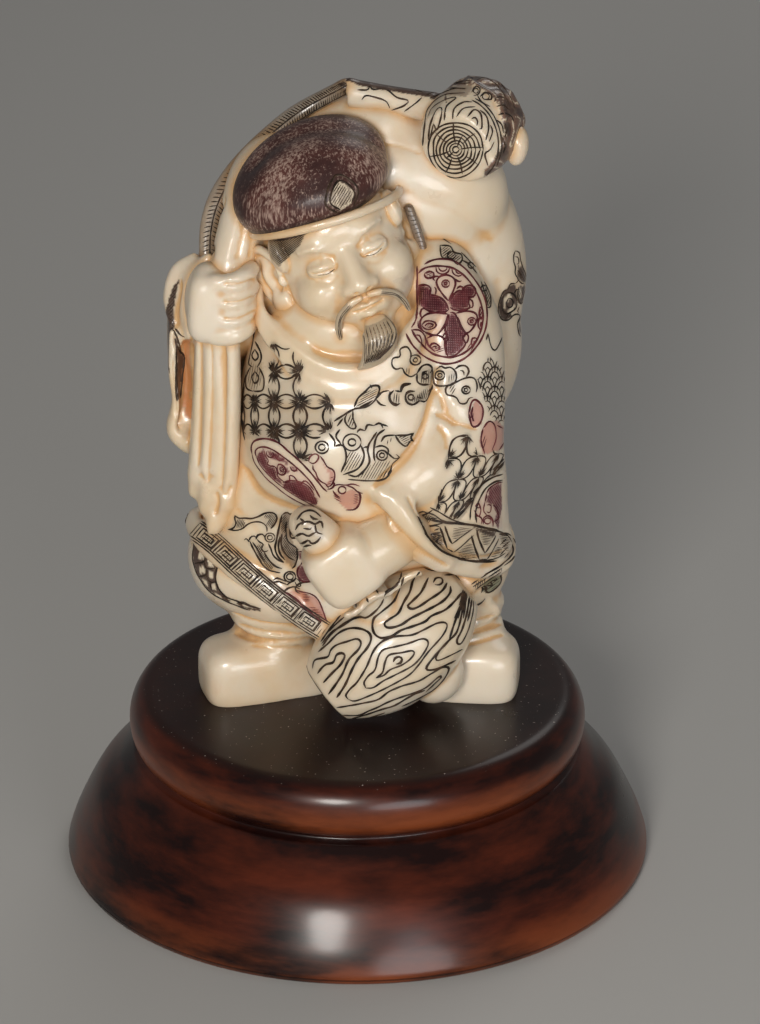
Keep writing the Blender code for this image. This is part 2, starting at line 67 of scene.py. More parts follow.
# Plain studio: a pale floor, a key light above the camera's left, a fill light and a rim light
studio = {"floorColour": (0.50, 0.49, 0.47, 1), "floorRoughness": 0.7, "floorSize": 1.6,
          "worldColour": (1, 1, 1, 1), "worldStrength": 0.13, "lightsAim": (0, 0, 0.06)}
softLights = {
    "keyLight": {"place": (-0.15, -0.74, 0.34), "power": 3.8, "size": 0.2, "colour": (1, 0.965, 0.91)},
    "fillLight": {"place": (0.28, -0.74, 0.08), "power": 2.7, "size": 0.4, "colour": (0.95, 0.97, 1)},
    "rimLight": {"place": (0.25, 0.55, 0.62), "power": 0.9, "size": 0.4, "colour": (1, 0.98, 0.95)}}

for name, light in softLights.items():
    lightData = bpy.data.lights.new(name, "AREA")
    lightData.shape = "DISK"
    lightData.energy = light["power"]
    lightData.size = light["size"]
    lightData.color = light["colour"]
    lamp = bpy.data.objects.new(name, lightData)
    lamp.location = light["place"]
    aim = Vector(studio["lightsAim"]) - Vector(light["place"])
    lamp.rotation_euler = aim.to_track_quat("-Z", "Y").to_euler()
    bpy.context.scene.collection.objects.link(lamp)

world = bpy.data.worlds.new("studio")
world.use_nodes = True
sky = world.node_tree.nodes["Background"].inputs
sky["Color"].default_value = studio["worldColour"]
sky["Strength"].default_value = studio["worldStrength"]
bpy.context.scene.world = world
bpy.context.scene.view_settings.view_transform = "Standard"

floorMesh = bmesh.new()
bmesh.ops.create_grid(floorMesh, x_segments=1, y_segments=1, size=studio["floorSize"] / 2)
floorData = bpy.data.meshes.new("floor")
floorMesh.to_mesh(floorData)
floorMesh.free()
floor = bpy.data.objects.new("floor", floorData)
floorFinish = bpy.data.materials.new("pale floor")
floorFinish.use_nodes = True
floorInputs = floorFinish.node_tree.nodes["Principled BSDF"].inputs
floorInputs["Base Color"].default_value = studio["floorColour"]
floorInputs["Roughness"].default_value = studio["floorRoughness"]
floorData.materials.append(floorFinish)
bpy.context.scene.collection.objects.link(floor)
print("studio ready")


# Clay tools: shapes are pressed into one lump, and a closed skin is drawn over it

# Lines of sight start here, close to the camera's place, in the figure's millimetres
viewpoint = Vector((3.45, -592.0, 297.2))
lumps = {"ball": {"u_segments": 64, "v_segments": 40}, "pillow": {"u_segments": 72, "v_segments": 44},
         "limbSides": 24, "dome": (0.45, 0.75, 0.93)}


def turnOf(degrees):
    return Euler([math.radians(angle) for angle in degrees]).to_matrix().to_4x4()


def placed(centre, halves, turn):
    return Matrix.Translation(centre) @ turnOf(turn) @ Matrix.Diagonal((*halves, 1))


def addTo(clay, lump):
    # Each shape is made by itself, because operators slow down as a mesh grows
    mesh = bpy.data.meshes.new("lump")
    lump.to_mesh(mesh)
    lump.free()
    clay.from_mesh(mesh)
    bpy.data.meshes.remove(mesh)


def ball(clay, centre, radii, turn=(0, 0, 0)):
    lump = bmesh.new()
    bmesh.ops.create_uvsphere(lump, **lumps["ball"], radius=1, matrix=placed(centre, radii, turn))
    addTo(clay, lump)


def pillow(clay, centre, halves, turn=(0, 0, 0), blunt=0.45):
    # A ball that is pressed toward a box, with soft edges
    lump = bmesh.new()
    bmesh.ops.create_uvsphere(lump, **lumps["pillow"], radius=1)
    for vert in lump.verts:
        vert.co = Vector([math.copysign(abs(value) ** blunt, value) for value in vert.co])
    bmesh.ops.transform(lump, matrix=placed(centre, halves, turn), verts=lump.verts)
    addTo(clay, lump)


def block(clay, centre, halves, turn=(0, 0, 0)):
    lump = bmesh.new()
    bmesh.ops.create_cube(lump, size=2, matrix=placed(centre, halves, turn))
    addTo(clay, lump)


def curveThrough(points, steps):
    # Catmull-Rom curve through rows of numbers, with so many steps between two of them
    rows = np.array(points, float)
    ends = np.vstack([2 * rows[0] - rows[1], rows, 2 * rows[-1] - rows[-2]])
    found = []
    for i in range(len(rows) - 1):
        a, b, c, d = ends[i:i + 4]
        for t in np.arange(steps) / steps:
            found.append(0.5 * (2 * b + (c - a) * t + (2 * a - 5 * b + 4 * c - d) * t**2
                                + (3 * b - a - 3 * c + d) * t**3))
    found.append(rows[-1])
    return np.array(found)


def domeOf(centre, forward, wide, deep, sign):
    # The rings of a rounded end, from the smallest to the largest
    reach = sign * min(wide.length, deep.length)
    return [(centre + forward * reach * math.sqrt(1 - s * s), forward, wide * s, deep * s)
            for s in lumps["dome"]]


def limb(clay, stations, across=(1, 0, 0), steps=5, domed=(True, True)):
    # A closed form swept through stations of x, y, z, half width and half depth
    lump = bmesh.new()
    path = curveThrough(stations, steps)
    rings = []
    last = len(path) - 1
    for i, row in enumerate(path):
        forward = Vector(path[min(i + 1, last)][:3] - path[max(i - 1, 0)][:3]).normalized()
        wide = Vector(across) - forward * Vector(across).dot(forward)
        wide.normalize()
        deep = forward.cross(wide)
        rings.append((Vector(row[:3]), forward, wide * row[3], deep * row[4]))
    front, back = [domeOf(*ring, sign) for ring, sign in ((rings[0], -1), (rings[-1], 1))]
    rings = front * domed[0] + rings + back[::-1] * domed[1]
    loops = []
    for i, (centre, forward, wide, deep) in enumerate(rings):
        matrix = Matrix((wide, deep, forward)).transposed().to_4x4()
        matrix.translation = centre
        made = bmesh.ops.create_circle(lump, cap_ends=i in (0, len(rings) - 1),
                                       segments=lumps["limbSides"], radius=1, matrix=matrix)
        ring = set(made["verts"])
        loops.append([edge for vert in ring for edge in vert.link_edges
                      if edge.other_vert(vert) in ring and edge.verts[0] == vert])
    for lower, upper in zip(loops, loops[1:]):
        bmesh.ops.bridge_loops(lump, edges=lower + upper)
    addTo(clay, lump)


def pair(clay, shape, centre, *rest, **more):
    # The same shape on both sides of the head's middle plane
    for side in (-1, 1):
        shape(clay, (side * centre[0], *centre[1:]), *rest, **more)


def skinOver(source, voxel):
    # Draws a closed skin over a lump of clay, or over a mesh
    if isinstance(source, bmesh.types.BMesh):
        mesh = bpy.data.meshes.new("clay")
        source.to_mesh(mesh)
        source.free()
    else:
        mesh = source
    item = bpy.data.objects.new("clay", mesh)
    bpy.context.scene.collection.objects.link(item)
    remesh = item.modifiers.new("skin", "REMESH")
    remesh.mode = "VOXEL"
    remesh.voxel_size = voxel
    made = bpy.data.meshes.new_from_object(item.evaluated_get(bpy.context.evaluated_depsgraph_get()))
    bpy.data.objects.remove(item)
    bpy.data.meshes.remove(mesh)
    return made


def pointsOf(mesh, what="co"):
    rows = np.empty(len(mesh.vertices) * 3, np.float32)
    mesh.vertices.foreach_get(what, rows)
    return rows.reshape(-1, 3).astype(float)


def normalsOf(mesh):
    return pointsOf(mesh, "normal")


def edgesOf(mesh):
    edges = np.empty(len(mesh.edges) * 2, np.int32)
    mesh.edges.foreach_get("vertices", edges)
    return edges.reshape(-1, 2).T


def putPoints(mesh, points):
    mesh.vertices.foreach_set("co", points.astype(np.float32).ravel())
    mesh.update()


def smoothed(points, edges, rounds, share=0.5):
    a, b = edges
    ends, others = np.concatenate([a, b]), np.concatenate([b, a])
    count = np.maximum(np.bincount(ends, minlength=len(points)), 1)[:, None]
    points = points.copy()
    for _ in range(rounds):
        total = np.stack([np.bincount(ends, points[others, k], len(points)) for k in range(3)], axis=1)
        points += share * (total / count - points)
    return points


def relax(mesh, rounds, share=0.5):
    putPoints(mesh, smoothed(pointsOf(mesh), edgesOf(mesh), rounds, share))


def treeOf(mesh):
    return BVHTree.FromPolygons(pointsOf(mesh).tolist(), [face.vertices for face in mesh.polygons])


def pathOn(tree, marks, steps):
    # Marks with two numbers are seen from the front, in the upright plane through the figure's middle.
    # Marks with three numbers are places, and move to the skin's nearest point.
    path = []
    for mark in curveThrough(marks, steps):
        if len(mark) == 2:
            hit = tree.ray_cast(viewpoint, Vector((mark[0], 0, mark[1])) - viewpoint)[0]
        else:
            hit = tree.find_nearest(Vector(mark))[0]
        if hit:
            path.append(np.array(hit))
    return np.array(path)


def marksOf(points):
    # Where the line from the viewpoint to each point crosses the upright plane through the middle
    start = np.array(viewpoint)
    away = points - start
    return start[[0, 2]] + away[:, [0, 2]] * (-start[1] / away[:, 1])[:, None]


def within(polygon, marks):
    marks = np.asarray(marks, float)
    inside = np.zeros(len(marks), bool)
    x, y = marks[:, 0], marks[:, 1]
    for (ax, ay), (bx, by) in zip(polygon, [*polygon[1:], polygon[0]]):
        crosses = (ay > y) != (by > y)
        inside ^= crosses & (x < (bx - ax) * (y - ay) / ((by - ay) or 1e-9) + ax)
    return inside


# A stroke is cut as far as this many of its widths, and is fainter over a share of its length at each end
cuts = {"widths": 3, "endShare": 0.12, "endStrength": 0.25, "endNarrowing": 0.5, "steps": 6}


def carve(mesh, strokes):
    # Cuts a groove along each stroke's marks, or raises a ridge where its depth is below 0
    tree = treeOf(mesh)
    points, normals = pointsOf(mesh), normalsOf(mesh)
    shift = np.zeros(len(points))
    for marks, width, depth in strokes:
        path = pathOn(tree, marks, cuts["steps"])
        if len(path) < 2:
            continue
        low, high = path.min(axis=0) - cuts["widths"] * width, path.max(axis=0) + cuts["widths"] * width
        near = np.nonzero(((points > low) & (points < high)).all(axis=1))[0]
        if not len(near):
            continue
        spot = points[near]
        best = np.full(len(near), np.inf)
        for i, (a, b) in enumerate(zip(path, path[1:])):
            along = b - a
            t = np.clip((spot - a) @ along / max(along @ along, 1e-12), 0, 1)
            gap = np.linalg.norm(spot - a - t[:, None] * along, axis=1)
            s = (i + t) / (len(path) - 1)
            fade = np.clip(np.minimum(s, 1 - s) / cuts["endShare"] + cuts["endStrength"], 0, 1)
            best = np.minimum(best, gap / width - np.log(fade) * cuts["endNarrowing"])
        shift[near] += depth * np.exp(-best * best)
    putPoints(mesh, points - normals * shift[:, None])


# For each form: the cells of its soft first skin, the rounds that smooth it, and the cells of its fine skin
skins = {"robe": (0.55, 5, 0.355), "sack": (0.7, 5, 0.43), "sackSeam": (0.4, 2, 0.28),
         "legs": (0.6, 5, 0.37), "hangingCloth": (0.45, 5, 0.3), "fists": (0.4, 4, 0.27),
         "bead": (0.4, 1, 0.3), "lowerMallet": (0.4, 2, 0.29), "upperMallet": (0.4, 1, 0.26),
         "ribbon": (0.3, 1, 0.24), "cap": (0.45, 5, 0.29), "brim": (0.3, 1, 0.24)}


def shaped(clay, name, strokes=()):
    # A soft first skin blends the lumps, and a fine second one takes the carving
    soft, rounds, fine = skins[name]
    mesh = skinOver(clay, soft)
    relax(mesh, rounds)
    mesh = skinOver(mesh, fine)
    relax(mesh, 2)
    if strokes:
        carve(mesh, strokes)
        relax(mesh, 1, 0.3)
    return mesh


# The robe, with its skirt, hems and the hanging sleeve

hemLeft = ((-24.8, 2.5, 26, 2, 1), (-23, -3.4, 25.4, 2, 1), (-19, -7.6, 23.6, 2.1, 1),
           (-14, -10, 20.8, 2.1, 1), (-9, -11.4, 17.4, 2.1, 1), (-4.2, -12, 13.8, 2, 1))
hemRight = ((4, -11, 14, 2, 1), (10, -8.6, 16.4, 2, 1), (15.6, -6.4, 19, 2, 1), (21.6, -2.6, 21.6, 2, 1),
            (22.6, 3, 21.6, 2, 1))
hemBack = ((-24.8, 2.5, 26, 2, 1), (-22.6, 9, 23.6, 2, 1), (-15, 13.6, 20.6, 2, 1), (-4, 14.6, 19.6, 2, 1),
           (8, 14.4, 19.8, 2, 1), (18, 11.4, 20.6, 2, 1), (22.6, 3, 21.6, 2, 1))
cuffRim = ((3, -15.6, 38.8, 1.7, 1.1), (6.2, -16, 34.6, 1.9, 1.1), (9.6, -14.6, 29.8, 1.9, 1.1),
           (13.6, -11.6, 25, 1.7, 1.1), (18.6, -7.4, 22, 1.5, 1.1), (22.2, -3.4, 21.7, 1.4, 1.1),
           (22.8, 0.6, 24.2, 1.2, 1), (20.6, 3.4, 28, 1, 1))
collarBand = ((-14.4, -1.5, 65.4, 1.4, 0.8), (-13.4, -5.6, 61.6, 1.7, 0.8), (-8.6, -9.8, 57.6, 1.9, 0.8),
              (-1.4, -12, 55.2, 2.1, 0.8), (5.4, -10.6, 57.4, 1.9, 0.8), (9.6, -6.8, 63.2, 1.7, 0.8),
              (10.8, -2, 68.4, 1.4, 0.8))
collarEdge = ((-15, -2, 64.6, 0.45, 0.5), (-14.2, -6, 60.2, 0.5, 0.55), (-9.2, -10.4, 55.9, 0.55, 0.6),
              (-1.6, -13, 53.3, 0.6, 0.6), (5.8, -11.4, 55.7, 0.55, 0.6), (10.6, -7.2, 61.8, 0.5, 0.55),
              (12, -2.2, 67.4, 0.45, 0.5))
robeStrokes = (
    # Where the hanging arm leaves the belly, and the folds at its elbow
    (((11.9, 51.3), (11.2, 46.7), (9.8, 41.7), (7, 37), (2.7, 32.6)), 0.75, 0.85),
    (((12, 48.6), (13.2, 44.9), (14.6, 42.4)), 0.7, 0.4),
    (((11.7, 44.4), (14.1, 43.1), (17.8, 41.9)), 0.6, 0.4),
    (((12.2, 42.4), (13, 41), (13.4, 38.6)), 0.6, 0.25),
    (((14.2, 46), (16.4, 45)), 0.9, -0.25),
    # The belly above the skirt
    (((-16.9, 35.6), (-14.2, 31.2), (-8.5, 28.4), (-2.8, 27.1)), 1, 0.8),
    # Pulls in the skirt
    (((-18, 29), (-14, 24), (-9.5, 19), (-5, 13.4)), 1.4, 0.35),
    (((-12, 27.4), (-8.8, 22), (-5.6, 17.4)), 1.2, 0.3),
    # The opening of the lower sleeve, beside its rim
    (((7.6, 30.8), (8.9, 28.4), (10.6, 25.2), (12.6, 22.8), (15.4, 21.2), (19, 20.9), (22, 22)), 0.5, 0.4),
    # The lining's free edge over the wrist, and its smooth swell
    (((2.85, 29.6), (5.7, 26), (8.2, 23.1), (11.4, 20.8), (13.6, 19.4)), 0.5, 0.6),
    (((4.8, 31.4), (7.2, 27.8), (9.3, 24.2), (11.8, 21.8), (16, 20.4)), 1.1, -0.4),
    # The back: the seat of the robe and the folds below the sack
    (((-21, 9, 37), (-12, 15, 33.4), (0, 16.6, 32), (12, 15, 33), (20, 8, 36)), 1.5, 0.6),
    (((-17, 12.6, 31.6), (-15.6, 14, 27), (-12.4, 14.8, 23)), 1.3, 0.45),
    (((-9.6, 15.4, 31), (-9.4, 16, 27), (-7, 16, 23)), 1.1, 0.4),
    (((1.6, 16, 31), (0.4, 16.4, 27), (1.4, 16, 23)), 1.2, 0.45),
    (((8.8, 15.6, 31.4), (9.8, 15.8, 27.4), (8.6, 15.6, 23.4)), 1.1, 0.35),
    (((16.4, 12.8, 32), (15.8, 14, 28), (17.4, 12.8, 24)), 1.2, 0.4))


def robe():
    clay = bmesh.new()
    limb(clay, [(0.5, 3.5, 22, 17.5, 10), (0.5, 1, 30, 20.4, 13.4), (0.3, -0.5, 38, 19.4, 15),
                (0.6, -0.2, 47, 18.2, 14.2), (1.2, 1.4, 56, 16.4, 11.6), (1.6, 3.6, 65, 12.4, 9)],
         domed=(False, True))
    ball(clay, (-2, -5, 42.5), (14.6, 12, 11.2))
    ball(clay, (-1.6, -3.6, 51), (13.4, 9.4, 9.6))
    ball(clay, (-8, -1.6, 28), (16.6, 9.6, 11), (0, 30, 0))
    ball(clay, (-6, -5, 23), (9.6, 6.6, 9), (0, 40, 0))
    limb(clay, hemLeft, across=(0.4, 0.2, 1), steps=4)
    limb(clay, hemRight, across=(0, 0.3, 1), steps=4)
    limb(clay, hemBack, across=(0, -0.2, 1), steps=4)
    ball(clay, (-0.6, 4.6, 28), (22.6, 11, 10.4))
    limb(clay, [(-1, 4.4, 20, 20.4, 9.6), (-0.6, 4.4, 30, 19, 10)])
    limb(clay, [(-4, -10.6, 30, 7, 2.6), (-3, -11, 22, 5, 2.4), (0, -11, 15, 4, 2)])
    # The arm that hangs down, and its wide sleeve that opens toward the wrist
    limb(clay, [(11, 2, 64.6, 7, 6.6), (13.2, 0.6, 57.6, 8.2, 7.8), (13.4, -1.6, 49, 8.6, 8.4),
                (13.2, -4.2, 41, 8.6, 8.6), (14.2, -4.6, 33, 8.6, 7.6), (16, -4.4, 27, 7.4, 5.6)],
         across=(1, 0.5, 0))
    limb(clay, [(13, -7, 42.5, 6, 6), (9, -10.6, 39.6, 5.4, 5.2), (5.4, -13, 38, 3.6, 3.6)],
         across=(0, 0.3, 1))
    limb(clay, cuffRim, across=(0.5, -0.8, 0.2), steps=6)
    limb(clay, [(8.6, -9.8, 37.4, 3, 2.6), (12, -9.4, 33, 4.2, 3), (16.4, -7.6, 27.6, 4.4, 3),
                (20, -4.4, 25, 4, 3)], across=(1, 0.6, 0))
    limb(clay, [(12.6, -6.5, 41, 7.4, 7.2), (13, -7.6, 36.6, 7, 6.6), (14.4, -8, 31.6, 6.8, 5.8),
                (16.4, -7, 27.4, 6, 4.4)], across=(1, 0.5, 0))
    ball(clay, (12.3, -9.2, 31.6), (4.9, 4.5, 5.4), (0, -20, 0))
    # The smooth lining that is turned back at the wrist
    limb(clay, [(5.8, -14.6, 40.2, 1.2, 1), (6.2, -16.4, 37.4, 2.2, 1), (7.4, -17, 33.4, 3, 1),
                (9.8, -15.8, 29.4, 2.6, 1), (13, -13, 25.6, 1.8, 1)], across=(1, 0.1, 0.35))
    # The collar and the chest below it
    ball(clay, (-1.4, -1.2, 60.5), (11.6, 9.6, 6))
    ball(clay, (-13.2, 3.4, 61.6), (5, 4.4, 8.4))
    limb(clay, collarBand, across=(0, 0, 1), steps=5)
    limb(clay, collarEdge, across=(0, 0, 1), steps=5)
    return shaped(clay, "robe", robeStrokes)


# The sack on the back

sackStrokes = (
    (((-19.1, 78.3), (-20.4, 73.3), (-21.2, 68.7)), 0.7, 0.5),
    (((-16, 76), (-16.7, 72.1), (-17.4, 68.7)), 0.7, 0.5),
    (((-14.6, 75.4), (-15.2, 72), (-15.6, 69)), 0.6, 0.3),
    (((2.6, 86.7), (6, 86.2), (9.4, 85)), 0.5, 0.16),
    (((7.3, 79.4), (10, 77.7), (14.3, 76), (19.5, 72)), 1.6, 0.35),
    (((20.5, 66), (21.6, 60), (21.8, 54)), 1.6, 0.3),
    # Folds at the back, which fall from the gathered neck
    (((-12, 17, 84), (-8, 22, 73), (-3, 27, 60)), 2, 0.45),
    (((-1, 17, 88), (2, 23, 77), (5, 26.6, 66)), 1.8, 0.4),
    (((-18, 15, 74), (-17, 20, 63), (-12, 25, 50)), 2, 0.4),
    (((9, 18, 84), (13, 21, 72), (15, 22, 60)), 1.8, 0.35),
    (((-15, 22, 48), (-5, 25, 42), (8, 25, 42)), 1.6, 0.3))


def sack():
    clay = bmesh.new()
    ball(clay, (1.2, 14, 61.4), (24.2, 12.8, 27))
    ball(clay, (11, 12.4, 51), (13.8, 11.4, 17))
    ball(clay, (7.6, 10.6, 77), (15.2, 9.4, 11.2), (0, 18, 0))
    limb(clay, [(-18.6, -2.6, 68, 3.2, 3), (-16.6, 0.4, 73.6, 3.6, 3.6), (-13.8, 5, 79, 5.2, 5),
                (-8, 10, 81, 7.4, 6)])
    limb(clay, [(-18.8, 3.4, 66.6, 1.8, 2.6), (-16.6, 6.8, 73, 2.6, 3.6), (-12.2, 9.8, 78.6, 3.6, 4),
                (-6.8, 11.6, 82.6, 4.2, 4.2), (-1.6, 11.2, 85.2, 4.6, 4.2), (5, 9, 85.8, 4.8, 4.4)],
         across=(0.4, 0, 1))
    ball(clay, (-12.8, 4.6, 72.6), (4, 4.4, 7))
    return shaped(clay, "sack", sackStrokes)


seamPath = ((-21.2, 0.6, 66.2), (-21.2, 2.6, 71.6), (-20, 4.6, 76), (-17.4, 6.8, 79.9), (-14, 8.6, 83.3),
            (-10.6, 9.8, 86.1), (-7.7, 10.8, 88), (-4.9, 11, 89.6), (-2.6, 10.6, 91), (-1.2, 10, 92))


def sackSeam():
    # The corded seam along the sack's shoulder
    clay = bmesh.new()
    limb(clay, [(x - 0.25, y - 0.5, z + 0.1, 1.25, 1.7) for x, y, z in seamPath], across=(0.4, 0, 1))
    return shaped(clay, "sackSeam")


# Trousers and boots

legStrokes = (
    (((-18.6, 11.6), (-14.4, 10), (-8.7, 9.6), (-5.3, 10.2)), 0.45, 0.5),
    (((-18.6, 10), (-14.4, 8.5), (-8.7, 8.2), (-5.3, 8.9)), 0.42, 0.5),
    (((-18.4, 8.4), (-15.4, 7.2), (-11, 6.9), (-6.2, 7.5)), 0.42, 0.45),
    (((-16, 6.3), (-12.6, 5.8), (-8.4, 6)), 0.4, 0.3),
    (((12.4, 10.4), (16, 9.8), (21.8, 11.6)), 0.42, 0.45), (((12.4, 8.8), (16, 8.1), (22, 9.8)), 0.42, 0.45),
    (((12.6, 7.2), (16.2, 6.4), (22, 8)), 0.42, 0.35),
    (((19.6, 13.8), (21, 12.4), (21.6, 10.6)), 0.6, -0.3))


legBands = ((-12, 0.8, 12.6, 7.6, -5), (-12, 0.6, 10.6, 7.3, 3), (-12, 0.6, 8.8, 7.1, -4),
            (-12.4, 0.4, 7.2, 6.7, 2), (16, 1.8, 14, 6.6, 6), (16.2, 1.8, 11.8, 6.2, -4),
            (16.4, 1.6, 9.8, 6, 5), (16.6, 1.6, 8.2, 5.6, -2))


def boot(clay, side, toe, heel, turn):
    # A blunt rounded boot, with its heel behind
    pillow(clay, (toe[0] - side * 2.9, toe[1] + 0.7, 3.2), (7.5, 5.5, 5.3), (0, 0, turn), 0.5)
    ball(clay, (heel[0], heel[1], 2.4), (5.6, 5.6, 4.6))


def legs():
    clay = bmesh.new()
    boot(clay, -1, (-19.2, -2.7), (-12.2, 4.4), 17)
    pillow(clay, (-10.2, -0.2, 2.6), (5.8, 5.2, 4.2), (0, 0, 17))
    boot(clay, 1, (20, -2.2), (13.6, 4.4), -6)
    limb(clay, [(-18, -2, 3.2, 4.8, 3.8), (-13, 0.2, 5.6, 5.4, 4.8), (-11.8, 1.4, 9, 5.2, 5.2)],
         across=(0, 1, 0))
    limb(clay, [(19.4, -2, 4, 4.8, 4.2), (17, 0.6, 7.4, 5, 4.8), (15.8, 2, 11, 4.8, 4.8)],
         across=(0, 1, 0))
    for side in (-1, 1):
        limb(clay, [(side * 12.4, 2.6, 3, 6, 6.4), (side * 12.6, 2.4, 8, 5.8, 5.8),
                    (side * 12.8, 2.4, 13, 5.8, 5.8)])
    # The full trouser legs, and the bands wound below them
    ball(clay, (-15.2, 1.2, 20.6), (10.4, 9.6, 9.2), (0, 10, 0))
    ball(clay, (-11.6, -1.5, 17.2), (8.4, 7.4, 5.8))
    ball(clay, (13.8, 2.6, 20), (9.4, 9.4, 9.4))
    ball(clay, (0.5, 5.5, 20), (16, 9, 10))
    for x, y, z, reach, lean in legBands:
        ball(clay, (x, y, z), (reach, reach * 0.94, 1.25), (0, lean, 0))
    return shaped(clay, "legs", legStrokes)


# The cloth that hangs from the upper fist, and the sleeve behind it

clothStrokes = (
    (((-22.9, 56), (-23, 50), (-23.2, 43.7), (-23.6, 36)), 0.5, 0.35),
    (((-21.3, 55.2), (-21.4, 48), (-21.7, 41), (-22.2, 33.6)), 0.6, 0.5),
    (((-19.5, 55), (-19.6, 48), (-19.8, 40), (-20.2, 32.6)), 0.6, 0.55),
    (((-25.2, 55.5), (-25.1, 50), (-25.3, 45), (-26.1, 41.7)), 0.8, 1.4),
    (((-24.4, 56), (-24.1, 60), (-24.6, 64.4)), 0.5, 0.5),
    (((-26.6, 55), (-26.4, 60), (-25.6, 65.4)), 0.5, 0.45),
    (((-26.9, 53), (-27, 48), (-26.6, 44)), 0.5, 0.4),
    # The rippled ends
    (((-23.4, 34.6), (-22.4, 33.2), (-21.6, 34.4)), 0.5, 0.35),
    (((-20.6, 32.4), (-19.6, 31.2), (-18.6, 32.6)), 0.5, 0.35),
    (((-20.9, 31.6), (-20.8, 29.8), (-21.2, 28)), 0.35, 0.45))


def hangingCloth():
    clay = bmesh.new()
    for x, y, low, wide in [(-23.2, -3.8, 35.4, 1.25), (-21.3, -5.2, 33.2, 1.5), (-18.8, -6, 32.2, 1.6)]:
        limb(clay, [(x + 0.7, y + 0.4, 60, wide * 0.8, 2), (x + 0.4, y, 50, wide, 2.3),
                    (x - 0.1, y - 0.5, 41, wide * 1.1, 2.4), (x - 0.5, y - 1, low + 1, wide * 1.15, 2.1)])
    block(clay, (-20.4, -2, 47), (3, 2.9, 12.6))
    # The ends fall in ripples, and the longest one is split
    for x, y, z, wide, turn in [(-23.8, -5, 35, 1.2, 14), (-22.2, -6.2, 32.6, 1.3, 8),
                                (-19.8, -7.2, 31.4, 1.5, -4), (-17.8, -7, 33, 1.1, -14)]:
        ball(clay, (x, y, z), (wide, 1.5, 2.2), (0, turn, 0))
    for side in (-1, 1):
        limb(clay, [(-20.2 + side * 0.5, -6.6, 33, 1, 1.6), (-20.8 + side * 0.6, -7.4, 30.4, 0.9, 1.3),
                    (-21.2 + side * 0.55, -7.6, 28.4, 0.5, 0.8)])
    # The sleeve of the raised arm hangs open behind the cloth
    limb(clay, [(-21.4, 6.6, 65.4, 2.6, 5), (-24.4, 5.6, 61.4, 3, 6), (-25.2, 4.8, 54, 2.9, 6.2),
                (-24.7, 3.8, 46.4, 2.7, 5.4), (-25.1, 2.6, 41.8, 2.6, 4.2)])
    limb(clay, [(-26.7, -0.6, 58, 0.9, 1.6), (-27, -0.8, 52, 0.8, 1.6), (-26.4, -1, 47, 0.9, 1.8),
                (-26.6, -1, 42.4, 1.7, 2), (-25, -1.2, 39.6, 1.2, 1.4)])
    ball(clay, (-20.5, 5, 54), (4, 7, 12))
    ball(clay, (-15.4, 2.6, 61.5), (4.4, 3.6, 9))
    for out, back, low, wide in [(0, 0, 0, 1.2), (2.2, 1.8, 0.8, 1.3)]:
        limb(clay, [(-21.4 - out, -1.4 + back, 69.6 - low, wide * 0.8, 1.1),
                    (-23.9 - out, -1.2 + back, 66.6, wide, 1.3),
                    (-24.9 - out, -1.2 + back, 62.4, wide, 1.4),
                    (-23.9 - out, -1.6 + back, 57.6, wide * 0.9, 1.2)])
    return shaped(clay, "hangingCloth", clothStrokes)


# The fists

fistStrokes = (
    (((-19.4, 64.9), (-17, 65), (-14.4, 65.8)), 0.45, 0.4),
    (((-19.5, 62), (-17, 62.2), (-14.4, 63.2)), 0.45, 0.4),
    (((-19.5, 59.3), (-17, 59.6), (-14.7, 60.8)), 0.45, 0.4),
    (((-19.5, 66.6), (-19.7, 63), (-19.6, 59.4)), 0.8, 0.16),
    # The thumb, and the crease at the wrist of the lower fist
    (((4.6, 33.8), (7, 31.4), (9, 27.6)), 1.6, 0.35),
    (((-3.4, 30), (0.6, 31.4), (4.2, 31.2)), 0.7, 0.2))


def fists():
    clay = bmesh.new()
    # The upper fist: a plain back of the hand, and four fingers closed round the cloth
    ball(clay, (-21.5, -4, 63.8), (3.5, 4.5, 6.1))
    pillow(clay, (-21.3, -4.2, 63.6), (3.3, 4.2, 5.6), (0, 3, 0), 0.6)
    for k in range(4):
        z = 67.8 - 2.75 * k
        limb(clay, [(-20.4, -6.9, z, 1.5, 1.4), (-18, -7.4, z + 0.2, 1.5, 1.35),
                    (-16.2, -6.2, z + 0.7, 1.45, 1.35), (-15.2, -3.6, z + 1, 1.3, 1.3)], across=(0, 0, 1))
    block(clay, (-18.2, -3.2, 63.8), (2.4, 3.2, 4.8))
    # The lower fist: a smooth blunt block closed on the handle, and its wrist
    limb(clay, [(10, -8, 31.4, 2.6, 2.6), (8, -11, 31.4, 3.6, 3.6), (5.2, -13.8, 31.2, 4.4, 4.2)],
         across=(0.2, 0, 1))
    limb(clay, [(7, -13.4, 31.2, 4.3, 4), (3.4, -15.2, 29.8, 4.6, 4.4), (0.4, -16, 28.6, 4.6, 4.5)],
         across=(0.2, 0, 1))
    pillow(clay, (-1.8, -16.6, 27.6), (5.3, 4.6, 5.3), (0, -34, 8), 0.5)
    return shaped(clay, "fists", fistStrokes)


# The two mallets

lowerAxis = ((-4.6, -13.0, 4.8), (16, -8.7, 20))
upperAxis = ((14.2, -1.2, 86.5), (19.4, 8, 88.8))


def turnedForm(clay, start, end, radii):
    # A round form between two places, with its radii spaced evenly along it
    start, end = Vector(start), Vector(end)
    count = len(radii)
    path = [(*start.lerp(end, k / (count - 1)), radius, radius) for k, radius in enumerate(radii)]
    limb(clay, path, across=(0.3, 1, 0.1), steps=4, domed=(False, False))


